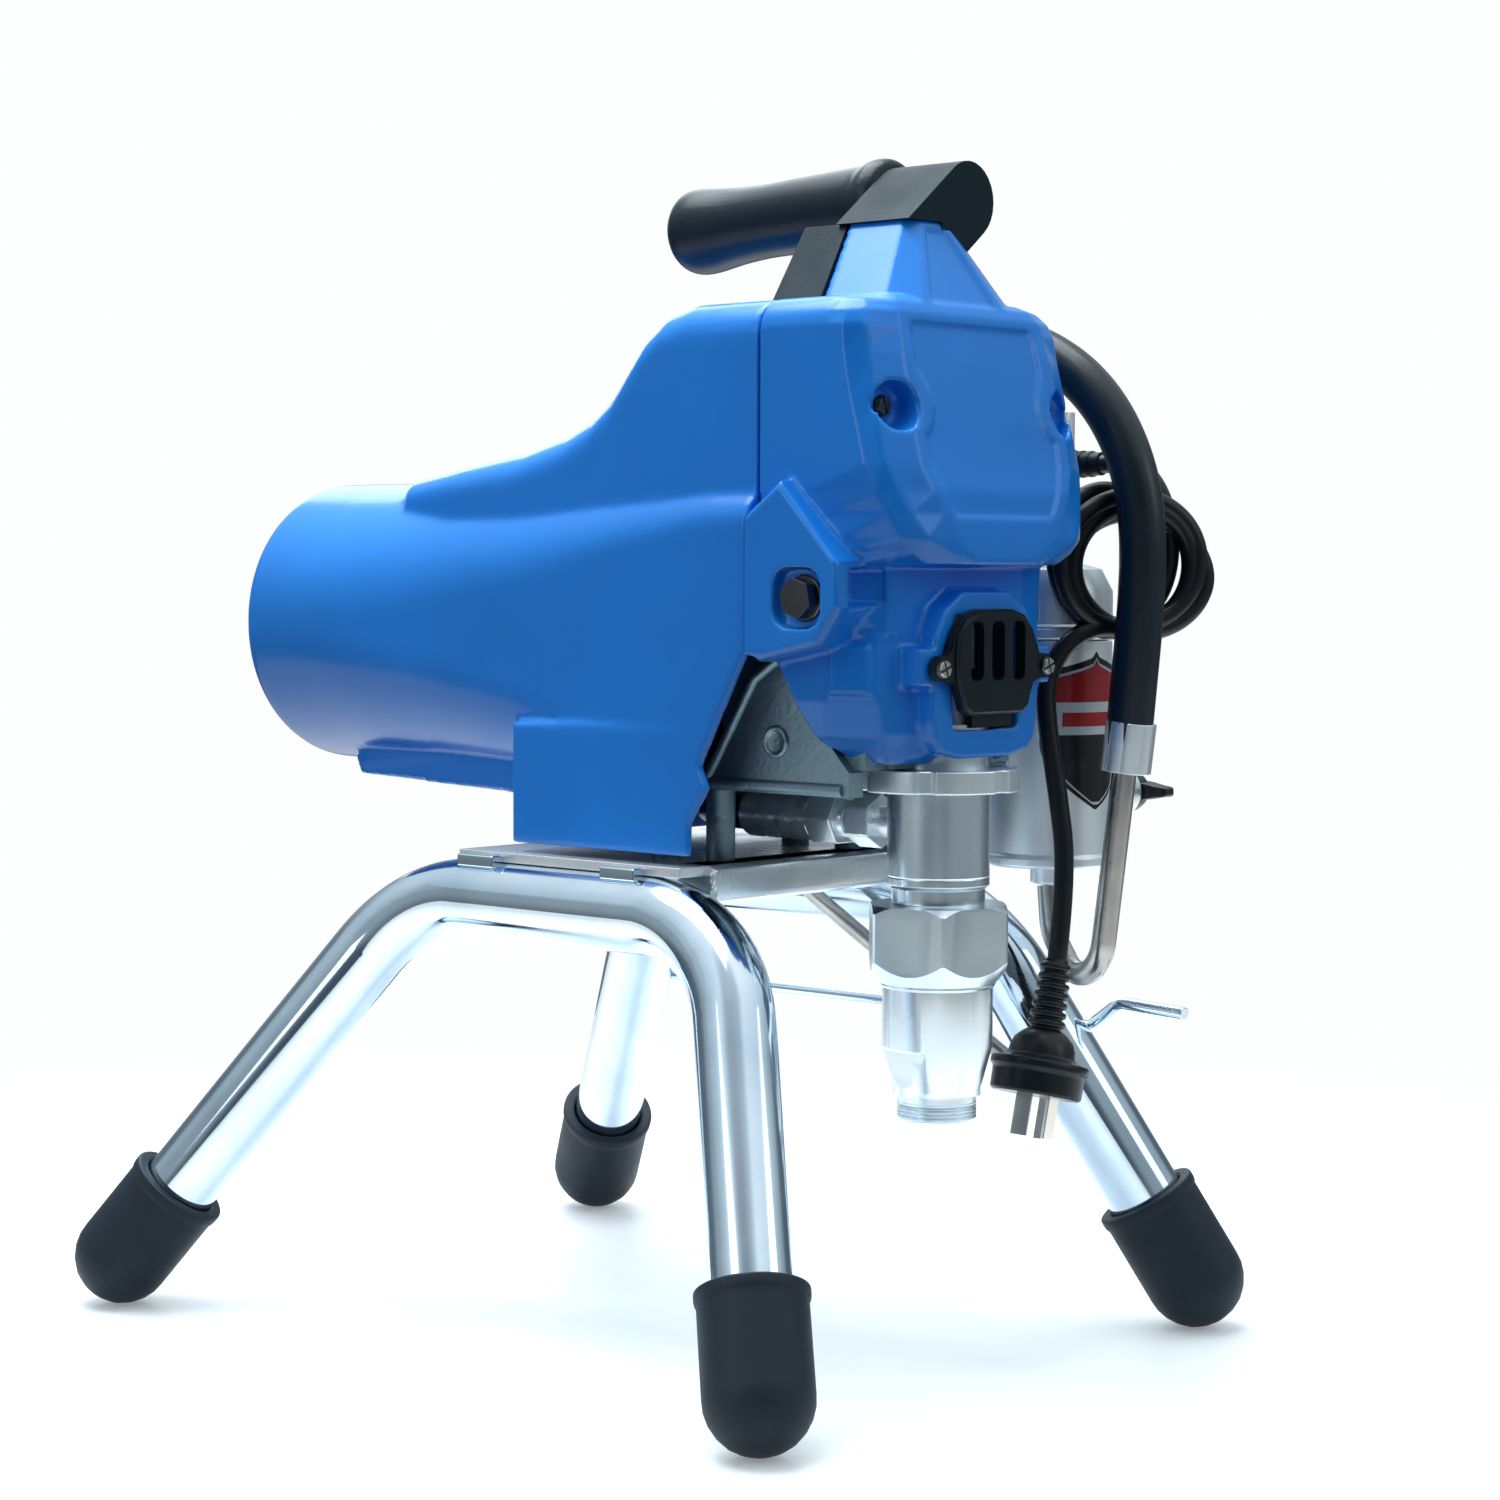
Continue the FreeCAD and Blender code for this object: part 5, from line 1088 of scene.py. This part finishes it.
def make_casting_detail():
    """Boss and ribs on the visible flanks of the cast gear case."""
    detail = Build("casting_boss")
    for side, axis in ((-1, BACK_X), (1, ALONG_X)):
        detail.lathe([(0, -0.5), (6.4, -0.5), (5.8, 1.2), (4.6, 1.4), (3.6, 0.4), (0, -0.2)],
                     (side * 46, -104, 236), axis, 32)
        detail.tube([(side * 45.6, -68, 219), (side * 45.6, -93, 259), (side * 45.6, -110, 270)], 2.2, 12)
        detail.tube([(side * 45.6, -68, 219.5), (side * 45.6, -136, 219.5)], 2.4, 12)
    detail.done([], "cast_housing", "cast", 0.6)


make_shroud()
make_cover()
make_guard()
make_fasteners()
make_casting_detail()


# Handle ------------------------------------------------------------------------------------------
GRIP_ACROSS, GRIP_UP = 20, 437


def make_handle():
    """The arm that carries the grip, cut to fit over the cover's tower, and the rubber grip."""
    front, rear = -140, -105
    end, radius = Vector((20, 0, 436)), 14.5
    lean = Vector((33, 0, 26)).normalized()
    across = Vector((-lean.z, 0, lean.x))
    outline = []
    for index in range(15):
        angle = math.radians(90 - 180 * index / 14)
        outline.append(end + across * radius * math.sin(angle) + lean * radius * math.cos(angle))
    start = end - lean * 42
    outline += [start - across * radius, start + across * radius]
    slab = Build("handle_bracket").loft([[(spot.x, along, spot.z) for spot in outline]
                                         for along in (front, rear)]).object()
    carve(slab, [Build("tool").box((-100, -200, 300), (4, 0, 426.6)).object()])
    block = stacked([(386.3, [(26, -109.5), (26, -91)]), (396, [(37, -115.8), (37, -92)]),
                     (426.8, [(13, -109.0), (13, -88)])], 0, "block")
    carve(slab, [block], "UNION")
    tower = stacked([(390, [(38, -116), (38, -147), (24, -154.5)]),
                     (394, [(38, -116.6), (38, -147), (24, -154)]),
                     (427, [(13, -109.8), (13, -135.5), (7, -138.5)])], 0, "tool")
    carve(slab, [tower])
    carve(slab, [Build("tool").box((-100, -200, 300), (100, 0, 386.4)).object()])
    dress(slab, ["handle_arm"], "arm", 1.0, angle=28)

    # place along Y, half-width, half-height, drop of the centre
    table = [(-105, 12, 12, 0), (-104.6, 15.5, 15.5, 0), (-102.5, 16.8, 17.2, 0), (-99, 17.6, 17.9, 0),
             (-95.5, 16.9, 17.2, 0), (-92.5, 15.4, 15.8, 0), (-88, 15.1, 15.5, 0), (-70, 14.7, 15.0, 0.5),
             (-52, 14.2, 14.5, 1.2), (-38, 14.2, 14.4, 1.9), (-24, 14.8, 15.1, 2.9), (-13, 16.2, 16.6, 3.6),
             (-6, 16.8, 17.2, 3.8), (-1, 16.0, 16.6, 3.6), (2.6, 13.6, 14.2, 3.4), (4.9, 9.4, 9.8, 3.2),
             (5.8, 4.0, 4.4, 3.0)]
    rings = []
    for along, wide, tall, drop in table:
        rings.append([(GRIP_ACROSS + wide * x, along, GRIP_UP - drop + tall * z)
                      for x, z in regular(40, 1.0)])
    grip = Build("rubber_grip").loft(rings).object()
    modify(grip, "SUBSURF", levels=2, render_levels=2)
    baked(grip)
    dress(grip, ["handle_grip"], "grip", 0)


make_handle()

# Inner pieces keep their CAD shape and get their own finish.
LOOKS = {
    "leather": ["throat_packings", "piston_seals"], "board": ["control_board"],
    "motor": ["motor_can"], "cast": ["drive_housing", "motor_end_plates", "connecting_rod"],
    "hard": ["motor_pinion", "intermediate_gear", "crank_gear", "crankshaft", "crank_bearing", "motor_rotor",
             "intake_seat", "intake_ball", "piston_ball", "rod_pin"],
    "steel": ["piston_rod", "filter_element"], "black": ["cooling_fan"],
}
for look, names in LOOKS.items():
    for name in names:
        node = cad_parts[name]
        node.data.materials.clear()
        node.data.materials.append(M[look])


# Stage and light ---------------------------------------------------------------------------------
WHITE_ROOM = (0.985, 0.997, 1.0)
FLOOR_HALF = 0.85
COOL = (0.885, 0.972, 1.0)


def smooth_range(tree, value, **numbers):
    """A smooth Map Range node's output; the keywords are its inputs."""
    node = tree.nodes.new("ShaderNodeMapRange")
    node.interpolation_type = "SMOOTHSTEP"
    for name, number in numbers.items():
        node.inputs[name.replace("_", " ")].default_value = number
    tree.links.new(value, node.inputs["Value"])
    return node.outputs["Result"]


def emitter(name, colour, strength):
    """A material that only shines."""
    material = bpy.data.materials.new(name)
    material.use_nodes = True
    tree = material.node_tree
    tree.nodes.clear()
    shader = tree.nodes.new("ShaderNodeEmission")
    shader.inputs["Color"].default_value = (*colour, 1)
    shader.inputs["Strength"].default_value = strength
    output = tree.nodes.new("ShaderNodeOutputMaterial")
    tree.links.new(shader.outputs[0], output.inputs["Surface"])
    return material


def make_stage():
    """A small pale floor that fades to white, inside a white dome that only the camera sees."""
    mesh = bpy.data.meshes.new("studio_floor")
    corners = [(FLOOR_HALF * x, FLOOR_HALF * y, 0) for x, y in ((-1, -1), (1, -1), (1, 1), (-1, 1))]
    mesh.from_pydata(corners, [], [(0, 1, 2, 3)])
    floor = bpy.data.objects.new("studio_floor", mesh)
    scene.collection.objects.link(floor)
    material = bpy.data.materials.new("studio_floor")
    material.use_nodes = True
    shader = material.node_tree.nodes["Principled BSDF"]
    shader.inputs["Base Color"].default_value = (0.86, 0.90, 0.94, 1)
    shader.inputs["Roughness"].default_value = 0.35
    shader.inputs["Specular IOR Level"].default_value = 0.25
    shader.inputs["Emission Color"].default_value = (0.95, 0.98, 1.0, 1)
    shader.inputs["Emission Strength"].default_value = 0.24
    tree = material.node_tree
    where = tree.nodes.new("ShaderNodeTexCoord")
    reach = tree.nodes.new("ShaderNodeVectorMath")
    reach.operation = "LENGTH"
    tree.links.new(where.outputs["Object"], reach.inputs[0])
    white = tree.nodes.new("ShaderNodeEmission")
    white.inputs["Color"].default_value = (*WHITE_ROOM, 1)
    mix = tree.nodes.new("ShaderNodeMixShader")
    tree.links.new(smooth_range(tree, reach.outputs["Value"], From_Min=0.25, From_Max=0.75), mix.inputs[0])
    tree.links.new(shader.outputs[0], mix.inputs[1])
    tree.links.new(white.outputs[0], mix.inputs[2])
    tree.links.new(mix.outputs[0], tree.nodes["Material Output"].inputs["Surface"])
    mesh.materials.append(material)
    shell = bmesh.new()
    bmesh.ops.create_uvsphere(shell, u_segments=48, v_segments=24, radius=8.5)
    mesh = bpy.data.meshes.new("studio_backdrop")
    shell.to_mesh(mesh)
    shell.free()
    dome = bpy.data.objects.new("studio_backdrop", mesh)
    scene.collection.objects.link(dome)
    mesh.materials.append(emitter("studio_backdrop", WHITE_ROOM, 1.0))
    for name in ("visible_diffuse", "visible_glossy", "visible_transmission", "visible_volume_scatter",
                 "visible_shadow"):
        setattr(dome, name, False)
    floor.visible_diffuse = False


def area_light(name, place, aim_up, size, power):
    """A soft light that looks at the machine's axis at a height."""
    light = bpy.data.lights.new(name, "AREA")
    light.shape = "RECTANGLE"
    light.size, light.size_y = size
    light.energy = power
    light.color = COOL
    made = bpy.data.objects.new(name, light)
    made.location = place
    made.rotation_euler = (Vector((0, 0, aim_up)) - Vector(place)).to_track_quat("-Z", "Y").to_euler()
    scene.collection.objects.link(made)


def make_world():
    """Bright above, grey at the horizon, dimmer below, with dark patches that the metal reflects."""
    world = bpy.data.worlds.new("studio")
    scene.world = world
    world.use_nodes = True
    tree = world.node_tree
    background = tree.nodes["Background"]
    where = tree.nodes.new("ShaderNodeTexCoord").outputs["Generated"]
    split = tree.nodes.new("ShaderNodeSeparateXYZ")
    ramp = tree.nodes.new("ShaderNodeValToRGB")
    tree.links.new(where, split.inputs[0])
    spread = tree.nodes.new("ShaderNodeMapRange")
    spread.inputs["From Min"].default_value = -1.0
    tree.links.new(split.outputs["Z"], spread.inputs["Value"])
    tree.links.new(spread.outputs["Result"], ramp.inputs["Fac"])
    stops = ramp.color_ramp.elements
    stops[0].position, stops[0].color = 0.0, (0.26, 0.40, 0.52, 1)
    stops[1].position, stops[1].color = 1.0, (1.6, 1.7, 1.75, 1)
    for position, value in ((0.44, 0.30), (0.49, 0.42), (0.56, 0.55), (0.64, 0.6), (0.74, 1.1)):
        stop = stops.new(position)
        stop.color = (value * 0.80, value * 0.94, value, 1)
    mixed = ramp.outputs["Color"]
    # heading and height, then the cosines at which each dark patch starts and is full, then its depth
    table = [(212, 13, 0.74, 0.88, 0.8), (208, 55, 0.88, 0.98, 0.45), (352, 0, 0.90, 0.98, 0.7),
             (95, 0, 0.88, 0.97, 0.6)]
    for heading, height, start, full, depth in table:
        heading, height = math.radians(heading), math.radians(height)
        toward = tree.nodes.new("ShaderNodeVectorMath")
        toward.operation = "DOT_PRODUCT"
        level = math.cos(height)
        toward.inputs[1].default_value = (level * math.cos(heading), level * math.sin(heading),
                                          math.sin(height))
        tree.links.new(where, toward.inputs[0])
        share = smooth_range(tree, toward.outputs["Value"], From_Min=start, From_Max=full, To_Max=depth)
        mix = tree.nodes.new("ShaderNodeMix")
        mix.data_type = "RGBA"
        mix.inputs[7].default_value = (0.045, 0.075, 0.115, 1)
        tree.links.new(share, mix.inputs["Factor"])
        tree.links.new(mixed, mix.inputs[6])
        mixed = mix.outputs[2]
    tree.links.new(mixed, background.inputs["Color"])
    background.inputs["Strength"].default_value = 0.7


make_stage()
make_world()
area_light("top_softbox", (0.0, 0.3, 1.7), 0.2, (1.3, 1.3), 34)
area_light("front_left_softbox", (-2.1, 0.3, 1.0), 0.25, (0.7, 1.3), 5)
area_light("front_right_softbox", (0.9, -2.0, 1.1), 0.25, (0.9, 0.9), 3.5)
area_light("rear_softbox", (1.2, 1.5, 1.3), 0.25, (1.2, 1.2), 10)
scene.view_settings.view_transform = "Standard"
scene.view_settings.look = "None"
